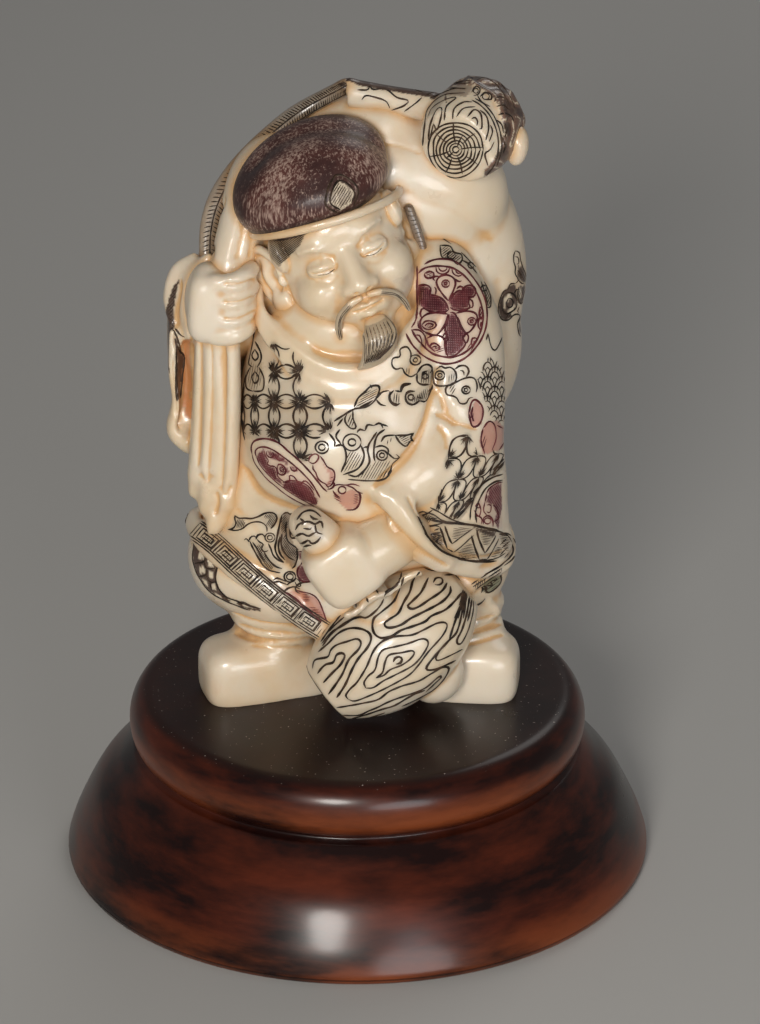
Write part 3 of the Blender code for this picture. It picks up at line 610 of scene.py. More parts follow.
def lowerMallet():
    clay = bmesh.new()
    turnedForm(clay, *lowerAxis, (5, 6.9, 8.3, 9.1, 9.35, 9.2, 8.7, 7.7, 6.1, 3.4))
    limb(clay, [(-7.2, -17.6, 34.6, 2.7, 2.7), (-4.8, -17.2, 31.8, 3.1, 3.1), (-0.6, -16, 26, 3, 3),
                (3.4, -14.6, 19, 2.8, 2.8)])
    # Rough carving where the fist meets the drum
    for k in range(11):
        height = 20.6 + 0.62 * k + 0.35 * math.sin(5 * k)
        ball(clay, (-1.4 + 1.05 * k, -19.4 + 0.16 * k, height), (0.7, 0.6, 0.75))
    # The plain polished far end
    ball(clay, (11.4, -9.8, 6.8), (4.6, 3.6, 5.2))
    return shaped(clay, "lowerMallet")


# How the brocade cover lies on the drum, how high its swirls stand, and where each of its colours shows
cover = {"left": 11.4, "start": 6.1, "radius": 6.6, "swirlHeight": 0.09, "edgeWidth": 0.5, "edgeHeight": 0.42,
         "darkBelow": -0.35, "boneAt": 0.8, "boneHalf": 0.17, "topDarkTo": 13, "topDarkLean": 0.86}
# Its raised edge comes forward to a point on top of the drum
coverEdge = ((18.3, 100.4), (17, 98.2), (16.1, 96.5), (17, 95.6), (19.4, 94), (20.6, 92.1), (21.4, 88.6),
             (20.6, 85.3), (18.5, 82.5))


def brocade(points):
    # How far each place lies along the upper mallet, and the swirls of its cover
    start, end = Vector(upperAxis[0]), Vector(upperAxis[1])
    ahead = (end - start).normalized()
    aside = ahead.cross((0, 0, 1)).normalized()
    local = points - np.array(start)
    around = cover["radius"] * np.arctan2(local @ np.array(aside), local @ np.array(aside.cross(ahead)))
    along = local @ np.array(ahead)
    below = within([*coverEdge, (18.5, 78), (30, 78), (30, 104), (18.3, 104)], marksOf(points))
    swirl = np.sin(1.5 * around + 1.3 * np.sin(1.1 * along))
    swirl += np.sin(1.4 * along + 1.6 * np.sin(1.2 * around))
    return (points[:, 0] > cover["left"]) & ((along > cover["start"]) | below), swirl


def upperMallet():
    clay = bmesh.new()
    turnedForm(clay, *upperAxis, (5.8, 6.5, 6.85, 6.85, 6.6, 5.8))
    limb(clay, [(-1, 9.6, 91, 2.2, 2), (5, 8, 90.5, 2.1, 1.9), (11.4, 6, 90, 2.3, 2.1)],
         across=(0, 0, 1), domed=(False, False))
    ball(clay, (-1, 9.4, 92.3), (1.5, 1.3, 1.1))
    ball(clay, (19.8, 7, 87.4), (4, 4.6, 5.8), (0, -14, 0))
    mesh = shaped(clay, "upperMallet")
    points = pointsOf(mesh)
    covered, swirl = brocade(points)
    putPoints(mesh, points + normalsOf(mesh) * (cover["swirlHeight"] * swirl * covered)[:, None])
    carve(mesh, [(coverEdge, cover["edgeWidth"], -cover["edgeHeight"])])
    return mesh


def bead():
    # The smooth ivory bead behind the upper mallet
    clay = bmesh.new()
    ball(clay, (23.3, 2.6, 85.4), (1.7, 2.2, 3.1), (0, 6, 0))
    return shaped(clay, "bead")


# The head

headPlace = (-2.2, -0.8, 70.6)
headTurn = (-8, -20, 12)
headMatrix = Matrix.Translation(headPlace) @ turnOf(headTurn)


def onHead(*places):
    return tuple(tuple(headMatrix @ Vector(spot)) for spot in places)


headStrokes = tuple(stroke for side in (-1, 1) for stroke in (
    # Between the lids, the folds above and below them, and beside the nose
    (onHead((side * 1.6, -8.9, 0.8), (side * 2.6, -9.75, 0.4), (side * 3.7, -9.95, 0.25),
            (side * 4.8, -9.6, 0.45), (side * 5.8, -8.6, 0.95)), 0.22, 0.32),
    (onHead((side * 1.7, -9.1, 2), (side * 3.7, -9.7, 2.6), (side * 5.9, -8.3, 1.9)), 0.4, 0.16),
    (onHead((side * 2.2, -9.2, -0.7), (side * 3.9, -9.6, -1.1), (side * 5.6, -8.6, -0.6)), 0.5, 0.1),
    (onHead((side * 2.9, -10.4, -3), (side * 3.9, -10, -4.4), (side * 4.6, -9.4, -6.2)), 0.8, 0.22),
    (onHead((side * 0.9, -12.2, -3.9), (side * 1.3, -11.9, -3.9)), 0.3, 0.4),
    # The bowl of the ear
    (onHead((side * 10.4, -1.6, 2.4), (side * 10.8, -0.6, 0.6), (side * 10.4, -1.8, -1.6)), 0.9, 0.8),
    (onHead((side * 11.6, 0.4, 3), (side * 12, 1, 0.4), (side * 11.4, 0.2, -2.4)), 0.4, 0.4))) + (
    (onHead((-2.3, -10.2, -6.35), (0, -11.3, -6.55), (2.3, -10.2, -6.35)), 0.26, 0.35),
    (onHead((0, -11.6, -4.5), (0, -11.2, -5.4)), 0.35, 0.15),
    (onHead((-1.6, -10.2, -8.6), (0, -10.8, -8.9), (1.6, -10.2, -8.6)), 0.6, 0.3))


def head():
    base = bmesh.new()
    ball(base, (0, 0.4, 1.5), (9.8, 9.6, 12))
    ball(base, (0, -2.2, -3.4), (9.2, 8.2, 8.6))
    ball(base, (0, -2.6, 5), (8.6, 7.2, 5.4))
    pair(base, ball, (4.9, -5.6, -2.9), (4, 4.3, 3.7))
    ball(base, (0, -6.2, -9.6), (3.5, 3.5, 2.9))
    limb(base, [(0, -8.6, 3, 1.3, 0.8), (0, -9.8, 0.4, 1.4, 1.1), (0, -10.9, -2.4, 1.8, 1.4)], steps=4)
    ball(base, (0, -11, -2.8), (2, 1.6, 1.5))
    pair(base, ball, (1.95, -10.3, -3.2), (1.3, 1.3, 1.05))
    for side in (-1, 1):
        limb(base, [(side * 1.6, -9.1, 3.7, 1, 0.5), (side * 4.2, -8.8, 4.3, 1.2, 0.5),
                    (side * 6.4, -7.2, 3.7, 0.9, 0.3)], steps=4)
    ball(base, (0, -8.2, -6.6), (4, 2.9, 2.4))
    mesh = skinOver(base, 0.4)
    relax(mesh, 9)
    clay = bmesh.new()
    clay.from_mesh(mesh)
    bpy.data.meshes.remove(mesh)
    # Eyes half closed
    pair(clay, ball, (3.7, -7.75, 0.9), (2.5, 1.75, 1.55))
    # Lips
    limb(clay, [(-2.6, -9.9, -6.2, 0.25, 0.3), (-1.1, -10.75, -5.9, 0.5, 0.5), (0, -10.85, -6.05, 0.45, 0.5),
                (1.1, -10.75, -5.9, 0.5, 0.5), (2.6, -9.9, -6.2, 0.25, 0.3)], across=(0, 0, 1), steps=4)
    limb(clay, [(-2.2, -9.9, -6.8, 0.25, 0.3), (0, -10.75, -7.3, 0.6, 0.55), (2.2, -9.9, -6.8, 0.25, 0.3)],
         across=(0, 0, 1), steps=4)
    # Long-lobed ears that stand out from the head
    for side in (-1, 0.9):
        ball(clay, (side * 10.6, 0.1, 0.2), (1, 3, 4.8), (0, 0, -38 * side))
        ball(clay, (side * 10.6, -0.8, -4.6), (1.3, 2.2, 3.7), (0, 0, -30 * side))
        limb(clay, [(side * 9.6, -2.3, 1, 0.5, 0.5), (side * 9.9, -1.9, 3.4, 0.6, 0.6),
                    (side * 11, -0.2, 4.9, 0.65, 0.65), (side * 12.2, 1.7, 4, 0.65, 0.65),
                    (side * 12.6, 2.3, 1, 0.65, 0.65), (side * 12.1, 1.5, -2, 0.6, 0.6),
                    (side * 11.4, 0.4, -4.4, 0.6, 0.6)], steps=5)
        limb(clay, [(side * 11, -0.2, 3.2, 0.35, 0.35), (side * 11.6, 0.6, 1.2, 0.4, 0.4),
                    (side * 11.1, -0.1, -1.6, 0.35, 0.35)], steps=4)
        ball(clay, (side * 9.8, -2.1, -0.4), (0.7, 0.8, 1))
    # Hair at the temples
    pair(clay, ball, (8.9, -3.9, 4), (1.2, 2.3, 2.8))
    bmesh.ops.transform(clay, matrix=headMatrix, verts=clay.verts)
    mesh = skinOver(clay, 0.215)
    relax(mesh, 2)
    carve(mesh, headStrokes)
    relax(mesh, 1, 0.3)
    return mesh


beardStrokes = tuple((onHead((x, -11.6, -9), (x * 1.15 - 0.2, -12.6, -10.8), (x - 1.2, -12.8, -12.4),
                             (x * 0.5 - 2.9, -12.4, -13.8)), 0.16, 0.17) for x in np.linspace(-2.1, 2.1, 9))


def beard():
    # A thin moustache that falls past the mouth, and a pointed beard with a turned tip
    clay = bmesh.new()
    for side in (-1, 1):
        limb(clay, [(side * 0.7, -11.1, -4.6, 0.5, 0.45), (side * 2.4, -10.9, -5, 0.6, 0.5),
                    (side * 4.2, -10, -6.3, 0.6, 0.5), (side * 5.1, -9.2, -8, 0.55, 0.45),
                    (side * 5.4, -8.6, -9.8, 0.35, 0.3)], steps=5)
    limb(clay, [(0.2, -9.8, -9, 1.7, 0.9), (0.1, -10.9, -10.4, 2.5, 1.5), (-0.6, -11.3, -11.8, 2.5, 1.6),
                (-2, -11.2, -13.2, 1.9, 1.3), (-3.4, -10.9, -14, 1.1, 0.8), (-4.6, -10.6, -14.4, 0.35, 0.35)])
    bmesh.ops.transform(clay, matrix=headMatrix, verts=clay.verts)
    mesh = skinOver(clay, 0.2)
    relax(mesh, 2)
    carve(mesh, beardStrokes)
    return mesh


capStrokes = ((((-15.4, 83), (-12.4, 86.4), (-8, 88.6), (-3.4, 89.4), (1, 88.6), (4.4, 85.8)), 2.3, 0.85),
              (((-13, 88.4), (-8.4, 91.4), (-3, 92.6), (2, 91.4)), 1.8, -0.35),
              (((-15.6, 79), (-11, 83.4), (-4, 85.6), (2, 84.6)), 2.2, -0.3),
              (((-15, 76), (-13.6, 79), (-10.4, 81)), 1.4, 0.3),
              (((4.6, 79), (5.6, 82), (5, 85)), 1.2, 0.25))


def cap():
    # A soft cap pulled down to one side, with a long furrow pressed into its crown
    clay = bmesh.new()
    ball(clay, (-0.3, 0.6, 11.6), (12, 12, 7.5), (6, -7, 0))
    ball(clay, (-0.2, 0.8, 10.6), (11.7, 11.9, 4.8), (8, -5, 0))
    ball(clay, (0.4, -2.4, 11), (10.6, 9.6, 5.2), (4, 2, 0))
    bmesh.ops.transform(clay, matrix=headMatrix, verts=clay.verts)
    mesh = shaped(clay, "cap")
    carve(mesh, capStrokes)
    return mesh


def brim():
    clay = bmesh.new()
    limb(clay, [(11.1 * math.sin(a), 0.5 - 11.3 * math.cos(a), 6.1 - 1.2 * math.sin(a) + 1.2 * math.cos(a),
                 0.75, 0.62) for a in np.linspace(-2.6, 2.6, 13)], across=(0, 0, 1), steps=3)
    bmesh.ops.transform(clay, matrix=headMatrix, verts=clay.verts)
    return shaped(clay, "brim")


def ribbon():
    # The striped ribbon of the cap, which falls behind the ear
    clay = bmesh.new()
    limb(clay, [(7.6, 1, 76.5, 0.8, 0.6), (8.8, 0.4, 73.1, 0.85, 0.6), (9.7, -0.1, 69.7, 0.85, 0.6),
                (9.8, -0.6, 66.5, 0.7, 0.5)])
    return shaped(clay, "ribbon")


formMakers = (robe, sack, sackSeam, legs, hangingCloth, fists, bead, lowerMallet, upperMallet, ribbon,
              beard, head, cap, brim)
forms = {make.__name__: make() for make in formMakers}
print("forms carved:", {name: len(mesh.polygons) for name, mesh in forms.items()})


# The turned stand: a plate with a rounded edge, over a groove and a foot that flares outward

standSizes = {"footRadius": 0.04459, "footRounding": 0.0012, "neckRadius": 0.0327, "lipWidth": 0.0012,
              "plateRadius": 0.0347, "seatRadius": 0.0312, "flareHeight": 0.0178, "grooveHeight": 0.0008,
              "plateThickness": 0.0084, "turns": 144,
              "flare": ((0.26, 0.84), (0.585, 0.63), (0.86, 0.315), (0.985, 0.12), (1.0, 0.06))}


def arc(middle, radii, start, stop, count):
    angles = np.radians(np.linspace(start, stop, count))
    return [(middle[0] + radii[0] * math.cos(a), middle[1] + radii[1] * math.sin(a)) for a in angles]


def turnedStand():
    size = standSizes
    plateLow = size["flareHeight"] + size["grooveHeight"]
    top = plateLow + size["plateThickness"]
    widest = plateLow + size["plateThickness"] * 0.45
    lip = size["neckRadius"] + size["lipWidth"]
    reach = size["footRadius"] - lip
    rows = [(0.0002, top), (0.012, top), (0.024, top), (size["seatRadius"] - 0.0006, top)]
    rows += arc((size["seatRadius"], widest), (size["plateRadius"] - size["seatRadius"], top - widest),
                90, 0, 14)
    rows += arc((size["neckRadius"], widest), (size["plateRadius"] - size["neckRadius"], widest - plateLow),
                0, -90, 10)[1:]
    rows += [(size["neckRadius"], size["flareHeight"] + 0.00005)]
    flare = [(lip, size["flareHeight"])]
    flare += [(lip + reach * out, size["flareHeight"] * up) for out, up in size["flare"]]
    rows += [tuple(row) for row in curveThrough(flare, 7)]
    rows += arc((size["footRadius"] - size["footRounding"], size["footRounding"]),
                (size["footRounding"], size["footRounding"]), 0, -90, 5)
    rows += [(0.03, 0), (0.0002, 0)]
    stand = bmesh.new()
    verts = [stand.verts.new((radius, 0, height)) for radius, height in rows]
    edges = [stand.edges.new(ends) for ends in zip(verts, verts[1:])]
    bmesh.ops.spin(stand, geom=verts + edges, cent=(0, 0, 0), axis=(0, 0, 1), angle=2 * math.pi,
                   steps=size["turns"], use_merge=True)
    bmesh.ops.remove_doubles(stand, verts=stand.verts, dist=0.000002)
    for height in (top, 0):
        rim = [edge for edge in stand.edges if edge.is_boundary and abs(edge.verts[0].co.z - height) < 1e-6]
        bmesh.ops.edgeloop_fill(stand, edges=rim)
    bmesh.ops.recalc_face_normals(stand, faces=stand.faces)
    mesh = bpy.data.meshes.new("turnedStand")
    stand.to_mesh(mesh)
    stand.free()
    return mesh


# Painted shade: how deep each point lies in a hollow, and how near it comes to another form; the ivory is
# painted warmer and darker there, as shade in the carving and where forms meet


def floats(mesh, name, values):
    attribute = mesh.attributes.new(name, "FLOAT", "POINT")
    attribute.data.foreach_set("value", np.asarray(values, np.float32))


trees = {name: treeOf(mesh) for name, mesh in forms.items()}
# Fine and broad hollows are what smoothing fills in; the gap is where two forms come close, in millimetres
hollowShading = {"fineRounds": 6, "fineDepth": 0.05, "fineShare": 0.5, "broadRounds": 50, "broadDepth": 0.35,
           "broadShare": 0.5, "gap": 1.3, "gapShare": 0.65}


def addHollowShade():
    for name, mesh in forms.items():
        points, normals, edges = pointsOf(mesh), normalsOf(mesh), edgesOf(mesh)
        hollowShade = np.zeros(len(points))
        for size in ("fine", "broad"):
            filled = ((smoothed(points, edges, hollowShading[size + "Rounds"]) - points) * normals).sum(axis=1)
            hollowShade += np.clip(filled / hollowShading[size + "Depth"], 0, 1) * hollowShading[size + "Share"]
        # Painted shade also where another form comes within the gap
        others = [tree for other, tree in trees.items() if other != name]
        for i, point in enumerate(points.tolist()):
            spot = Vector(point)
            gap = hollowShading["gap"]
            for tree in others:
                found = tree.find_nearest(spot, gap)
                if found[0]:
                    gap = found[3]
            hollowShade[i] += hollowShading["gapShare"] * (1 - gap / hollowShading["gap"])
        floats(mesh, "hollowShade", np.clip(hollowShade, 0, 1))


addHollowShade()
print("hollows found")


# The drawings on the ivory, given point by point on sheets

# A sheet is a window of the photo's frame: its left and top there, and how many of its units make one
photoFrame = {"width": 760, "height": 1024}
sheets = {"belly": (240, 425, 7), "chest": (225, 300, 5), "cuff": (430, 520, 7), "edge": (400, 485, 11),
          "head": (225, 100, 4), "lap": (180, 500, 6), "mallet": (295, 560, 6), "rose": (395, 225, 6),
          "shoulder": (385, 230, 5), "side": (150, 180, 4), "skirt": (170, 490, 6), "sleeve": (370, 440, 6),
          "top": (330, 60, 6)}


# Each key is a piece, a sheet, a kind and an ink or stain. Commas part its rows, which list x and y in turn.
# A ring is x, y and radius. Before a colon stand a patch's stain, and the angle and pitch of each hatching.
drawings = {
    "robe chest line ink":
        "148 150 140 220 125 290 120 330 140 345, 150 215 178 270 180 310 160 345, 150 255 135 285 150 310 "
        "168 290 150 255, 125 345 105 400 110 450 140 465, 170 345 195 400 190 455 160 465 140 462, 150 365 "
        "135 395 150 425 170 400 150 365, 105 380 92 450 85 540 84 620 100 710, 98 440 90 500 95 560, "
        "545 740 590 738 605 800 580 870, 680 735 695 790 665 850 590 882, 575 655 555 690 580 728, 520 675 "
        "548 715 545 740, 760 668 715 745 722 822 665 888 615 882, 800 655 760 690 745 760 750 815, 720 740 "
        "690 748, 810 770 845 800 872 795 855 780, 872 798 835 830 828 868 795 905 720 912 615 905, 660 672 "
        "672 655 700 662, 700 662 712 632 745 636, 745 636 775 625 790 650, 775 628 815 640, 750 745 785 738 "
        "815 755 812 785, 780 718 800 690 850 684, 850 684 872 720 905 740 925 712 942 715 928 695 942 675 "
        "905 684 850 684, 545 615 600 580 645 555 690 545 740 510, 645 545 665 500 700 468 728 440 770 440 "
        "765 480 740 520 700 545 645 548, 725 430 735 450, 768 432 770 455, 640 560 640 600 655 645 630 650 "
        "605 625 600 600 610 580, 590 600 560 640, 760 500 785 470 820 462, 755 505 775 530 805 538, 845 460 "
        "825 485 835 520 862 528, 845 500 858 510, 880 470 890 440 930 428, 940 462 905 480 912 520 945 530 "
        "975 510, 960 495 990 500, 850 462 880 468",
    "robe chest hatch ink":
        "80 0.35 : 125 300 150 330 170 330 185 400 165 460 130 460 110 420, 62 0.36 : 600 800 640 750 "
        "690 790 650 850 590 872, 62 0.36 : 690 860 760 810 830 810 825 870 790 902 700 908 640 895, "
        "30 0.3 : 855 686 905 738 938 714 926 690 905 686, 30 0.3 : 650 545 700 470 765 445 755 490 705 542, "
        "70 0.36 : 605 600 640 570 652 640 620 645, 80 0.4 : 785 725 840 690 850 700 800 740, "
        "85 0.4 : 830 480 862 470 862 525 835 520, 85 0.3 : 930 480 975 490 970 520 925 520",
    "robe chest ring ink":
        "485 745 34, 485 745 17, 635 720 46, 635 720 20, 785 785 28, 785 785 13",
    "robe belly line red":
        "85 215 80 160 105 120 165 106 235 118 290 150 345 200 400 245 455 300 500 350 545 405 580 450 "
        "610 478, 115 235 108 195 130 170 175 165 230 185 290 225 350 270 410 320 460 370 500 415 535 470 "
        "560 520, 85 215 100 270 140 330 190 390 250 440 310 490 380 535 440 565 500 595 545 612, 115 235 "
        "140 290 185 345 235 395 290 440 345 480 400 515 455 545 520 580, 170 190 180 230 200 262 190 282 "
        "215 300 240 300 262 330 262 365 290 395 320 415 348 398 345 365 375 372 398 400 420 430 450 402 "
        "480 420 520 470, 300 415 350 400 420 410 480 440 520 500, 185 195 190 225 215 240 240 225 228 200, "
        "250 215 255 245 280 262 305 250, 262 300 262 335 285 360 315 352 320 320 300 295 275 285 262 300, "
        "280 305 282 330 298 340 306 322 295 305 280 305, 350 300 362 325 385 335 398 320 385 305, 482 268 "
        "486 240 510 218 535 215 552 232 540 262 512 282 482 268, 560 228 585 262 612 305 650 325 664 360 "
        "655 405 630 440 600 438, 510 290 512 320 530 345 545 385 570 410 600 425 620 455, 655 405 660 430 "
        "640 455 612 462, 650 440 690 428 740 432 790 425 838 440, 740 432 790 450 825 480 858 490, 830 475 "
        "842 520 830 570 800 602 740 606, 650 470 670 500 700 520",
    "robe belly hatch red":
        "40 0.22 : 262 300 300 295 320 320 315 352 285 360, 20 0.26 : 580 270 612 305 648 328 662 362 "
        "652 402 628 438 598 432 622 400 632 360 610 325 585 300, 30 0.26 : 512 290 530 282 545 300 540 340 "
        "560 385 590 410 570 412 545 385 528 345, 15 0.26 : 770 450 800 462 828 490 838 530 826 570 800 600 "
        "790 560 795 510 780 480, -30 0.3 : 650 500 700 520 720 545 690 560 660 530",
    "robe belly patch red":
        "maroon 75 0.25 -15 0.3 : 125 215 165 180 172 225 190 262 184 285 212 304 238 304 254 334 256 368 "
        "290 404 300 430 240 395 190 345 145 290 118 240, maroon 75 0.25 -15 0.3 : 300 425 350 404 418 414 "
        "478 444 515 500 545 545 535 575 460 545 400 512 345 476 300 445, maroon 60 0.25 : 185 190 230 195 "
        "300 240 340 275 330 290 280 262 215 240, maroon 60 0.25 : 345 295 400 320 405 345 380 340, "
        "maroon 60 0.25 : 320 300 345 330 340 350 322 345",
    "robe belly stain blush":
        "110 200 175 165 290 225 410 320 500 415 560 520 520 580 400 515 290 440 185 345, 512 288 560 240 "
        "640 320 655 400 620 440 570 412",
    "robe belly ring red":
        "715 466 28",
    "robe belly stain rose":
        "570 262 612 305 650 328 662 362 652 405 628 440 598 430 622 395 625 360 600 325, 660 480 700 500 "
        "760 470 800 462 835 500 838 550 805 602 740 604 700 560 660 520",
    "robe chest stain dust":
        "90 400 120 300 180 300 200 440 360 390 360 480 520 500 540 660 400 820 260 720 100 700",
    "robe rose line red":
        "175 246 215 225 270 214 340 222 400 255 455 310 505 380 540 460 552 540 545 620 520 690 480 750 "
        "430 800 370 832 300 842 230 825 165 790 110 735 78 685 64 655, 140 300 165 276 200 262 250 256 "
        "310 260 360 275 410 310 455 360 495 430 520 500 528 570 515 640 490 700 450 750 400 785 340 803 "
        "280 798 225 780 180 745 130 690 98 636, 132 255 134 330 132 400 134 480 132 540 120 590 98 625, "
        "140 372 175 370 205 378 215 398 210 425 240 432 280 450 308 482 322 520, 320 520 290 538 250 535 "
        "215 532 190 520 160 498, 326 470 350 430 378 405 402 408 414 385 444 372 476 385 483 415 470 440 "
        "445 446 440 478 448 505 405 520 362 520 330 505, 330 535 355 540 376 580 395 630 422 660 405 690 "
        "422 722 395 760 360 790 322 798, 325 545 312 590 300 640 312 665 300 700 302 760 318 798, 320 466 "
        "290 432 262 392 248 352 268 320 310 310 350 328 362 362 346 412 320 466, 240 345 225 330 245 318 "
        "268 320, 352 330 380 350 400 345, 318 545 250 538 195 545 160 570 150 602 165 642 205 662 245 670 "
        "276 642 300 600 318 545, 160 570 150 540 165 510 185 520, 165 642 140 620 138 585, 365 540 420 528 "
        "472 535 492 560 482 600 455 642 425 657 400 620 375 560, 190 690 235 672 282 684 304 722 306 790, "
        "190 690 200 730 240 770, 284 684 300 660 315 690 305 722, 405 690 425 662 440 680 432 712 420 722, "
        "440 455 462 465 466 500 448 505, 370 395 385 380 405 385 402 408, 245 262 252 292 285 305 318 292 "
        "328 265, 262 262 268 280 288 288 308 278 312 262, 340 270 350 302 382 318 405 305, 362 280 372 298 "
        "392 302, 98 640 140 640 170 662 185 700 182 742, 120 672 145 672 158 700 160 722, 530 560 505 572 "
        "498 612 512 640, 528 590 514 600 512 622, 492 690 466 690 458 720 464 738, 488 706 474 712 474 726, "
        "170 470 158 455 150 470, 236 382 246 400 240 430, 160 612 180 590 215 586 245 600 242 622 212 636 "
        "178 632 160 612, 178 614 200 600 228 606 222 620 195 624, 205 745 222 722 250 725 268 745 255 765, "
        "222 745 240 738 250 752, 178 300 205 290 232 300 228 322 198 330 178 318 178 300, 510 500 525 520 "
        "524 560 512 575 505 545 510 500",
    "robe rose ring red":
        "304 362 24, 304 362 11, 460 588 25, 460 588 12",
    "robe rose hatch red":
        "20 0.24 : 178 300 205 290 232 300 228 322 198 330 178 318, 70 0.24 : 510 500 525 520 524 560 "
        "512 575 505 545, 50 0.24 : 170 612 215 590 242 605 230 628 185 630, 50 0.24 : 285 345 318 345 "
        "322 380 290 382, 50 0.24 : 442 570 475 570 478 604 446 606",
    "robe rose patch red":
        "maroon 88 0.27 2 0.27 : 138 374 200 379 213 400 210 425 245 434 280 452 308 484 318 518 290 533 "
        "250 530 215 528 190 516 140 488, maroon 88 0.27 2 0.27 : 330 470 352 432 378 408 400 410 414 388 "
        "444 376 472 388 478 414 466 436 442 444 436 478 442 502 400 516 360 516 334 502, "
        "maroon 88 0.27 2 0.27 : 332 540 354 544 374 582 393 632 418 662 402 690 416 720 392 756 358 786 "
        "320 792 306 756 304 702 316 664 304 640 314 592",
    "robe rose stain blush":
        "140 262 250 256 410 310 495 430 528 570 490 700 400 785 280 798 180 745 98 636 134 540",
    "robe shoulder line ink":
        "125 660 130 625 110 592 75 605 75 640 40 650 35 685 55 705 85 698 100 725 130 742 160 725, 160 725 "
        "185 690 215 682 235 700 225 725, 185 745 190 720 215 712, 160 725 160 765 185 782 225 780, 235 700 "
        "250 780 330 782 355 755 350 715 325 695 300 700 280 690 255 705, 350 705 375 688 405 690 418 715 "
        "405 745, 375 710 392 715 395 735, 235 780 235 800 215 815, 325 780 305 800 310 830 340 838 360 850 "
        "375 875 405 875 420 850 440 845, 325 780 355 770 385 755 425 745 450 755 460 790 455 820, 25 815 "
        "22 860 50 885 75 875, 75 815 90 780 130 775, 150 815 110 820 105 860 135 882 170 862, 170 862 "
        "205 862 235 790, 0 840 20 842, 258 0 275 40 330 78, 265 5 320 35 340 70, 275 85 285 145 330 150 "
        "360 180 385 160 380 130 345 120 325 90 275 85, 385 160 420 180 460 225, 380 120 430 170 465 205 "
        "470 235, 480 265 500 330 515 390, 495 265 525 330 527 390 510 395, 515 525 530 590 550 610 570 580 "
        "585 545, 515 525 505 560",
    "robe shoulder ring ink":
        "152 658 28, 152 658 12, 275 735 24, 275 735 11, 200 740 16, 405 808 22, 405 808 10, 130 845 16, "
        "332 135 20, 430 185 16, 495 300 16",
    "robe shoulder hatch ink":
        "88 0.34 : 170 720 230 700 245 780 180 778, 88 0.36 : 310 740 345 720 350 755 310 775, "
        "60 0.34 : 315 790 350 780 360 840 330 835, 88 0.36 : 85 700 120 690 125 735 100 722, "
        "88 0.4 : 50 830 75 825 75 875 55 880, 80 0.25 : 150 840 200 800 235 800 205 860 165 860, "
        "40 0.3 : 275 85 325 90 345 120 385 140 360 178 330 150 285 145, 50 0.26 : 385 125 430 170 470 230 "
        "440 205 400 165, 70 0.26 : 480 262 500 270 530 330 528 392 508 390 498 330, 55 0.3 : 260 4 320 36 "
        "338 74 300 58",
    "robe shoulder stain dust":
        "150 700 230 690 360 720 330 790 230 800 190 870 110 880 110 830 180 790, 275 85 345 110 470 200 "
        "535 330 528 395 495 340 440 230 330 160 280 145",
    "robe shoulder line red":
        "418 925 432 870 455 858 487 895 485 950 465 985 435 988 418 925, 440 890 432 930 445 965, 490 1000 "
        "520 965 548 985 555 1050 535 1110, 560 985 600 1010 598 1060 570 1110, 490 1000 480 1060 500 1130",
    "robe shoulder hatch red":
        "75 0.3 : 485 1050 505 1030 510 1090 492 1110, 85 0.3 : 425 930 440 900 442 960 432 975, "
        "20 0.3 : 235 590 255 575 300 600 290 625 250 620, 60 0.3 : 400 600 430 565 455 575 430 620",
    "robe shoulder stain rose":
        "418 925 455 860 490 900 480 985 435 990, 470 1060 500 975 560 960 605 1000 590 1100 540 1120 "
        "490 1130",
    "robe sleeve line ink":
        "290 470 310 520 335 570 380 625 430 672 490 700 550 725 620 738 690 742 760 735, 290 470 345 450 "
        "375 430, 600 490 605 420 630 340 680 270 740 232 795 215, 640 505 632 450 650 380 690 305 745 262 "
        "795 250",
    "robe sleeve hatch ink":
        "60 0.28 : 290 470 345 452 380 470 340 520 315 520",
    "robe sleeve stain dust":
        "290 470 375 430 500 495 640 522 775 560 790 700 760 735 620 738 490 700 380 625 310 520",
    "robe sleeve line red":
        "700 330 715 300 760 270 795 262, 690 380 700 330, 650 380 665 430 650 470 625 430, 690 380 680 430 "
        "700 460, 700 400 725 400 720 445 700 440, 735 400 760 420 770 480 740 500, 640 460 670 480 668 515, "
        "680 515 680 480 710 462 735 490 738 530",
    "robe sleeve ring red":
        "705 495 20, 648 405 14",
    "robe sleeve patch red":
        "maroon -60 0.3 : 705 345 720 300 765 272 790 275 790 420 770 540 745 500 760 450 735 400 700 385",
    "robe sleeve stain blush":
        "650 380 745 262 795 250 790 540 640 505",
    "robe lap line ink":
        "288 186 320 178 335 150 328 120 332 104 352 118 390 118 430 120 470 108 510 88 550 84 576 98 "
        "582 125 565 160 545 182, 288 186 330 192 370 184 400 160 430 145 470 140 500 150 520 172 522 200, "
        "385 250 400 240 412 258 428 262, 412 258 425 232 448 226 462 244, 455 246 468 222 498 216 510 238, "
        "422 262 440 300 462 340 480 370 498 400 530 428 570 440 602 446, 462 244 478 262 500 275 490 300 "
        "505 320 530 312, 505 320 520 350 548 385 580 410 612 420, 436 262 462 300 490 350 510 380, 530 270 "
        "545 300 560 340 590 370 620 385, 612 100 600 150 590 200 580 250 572 300 590 350 625 385, 612 100 "
        "640 84 662 96 690 88 696 112 672 120 660 150 668 190 662 220, 662 170 690 165 706 190 702 225 "
        "680 240 662 225 662 170, 636 200 640 240 660 270 690 290 712 310, 612 210 606 260 618 310 650 350 "
        "690 372, 600 230 590 280 600 330 630 370, 640 140 634 180 640 215, 700 300 705 350 690 400 672 420, "
        "560 492 580 480 612 488 636 500, 552 506 590 500 622 510 650 520, 700 480 720 500 722 530 700 520 "
        "690 500, 640 520 668 500 700 480, 622 560 650 540 690 530 720 545, 690 530 700 560 722 570, 690 545 "
        "705 520 740 505 790 500, 742 375 722 400",
    "robe lap ring ink":
        "540 235 30, 540 235 16, 660 470 34, 660 470 20",
    "robe lap hatch ink":
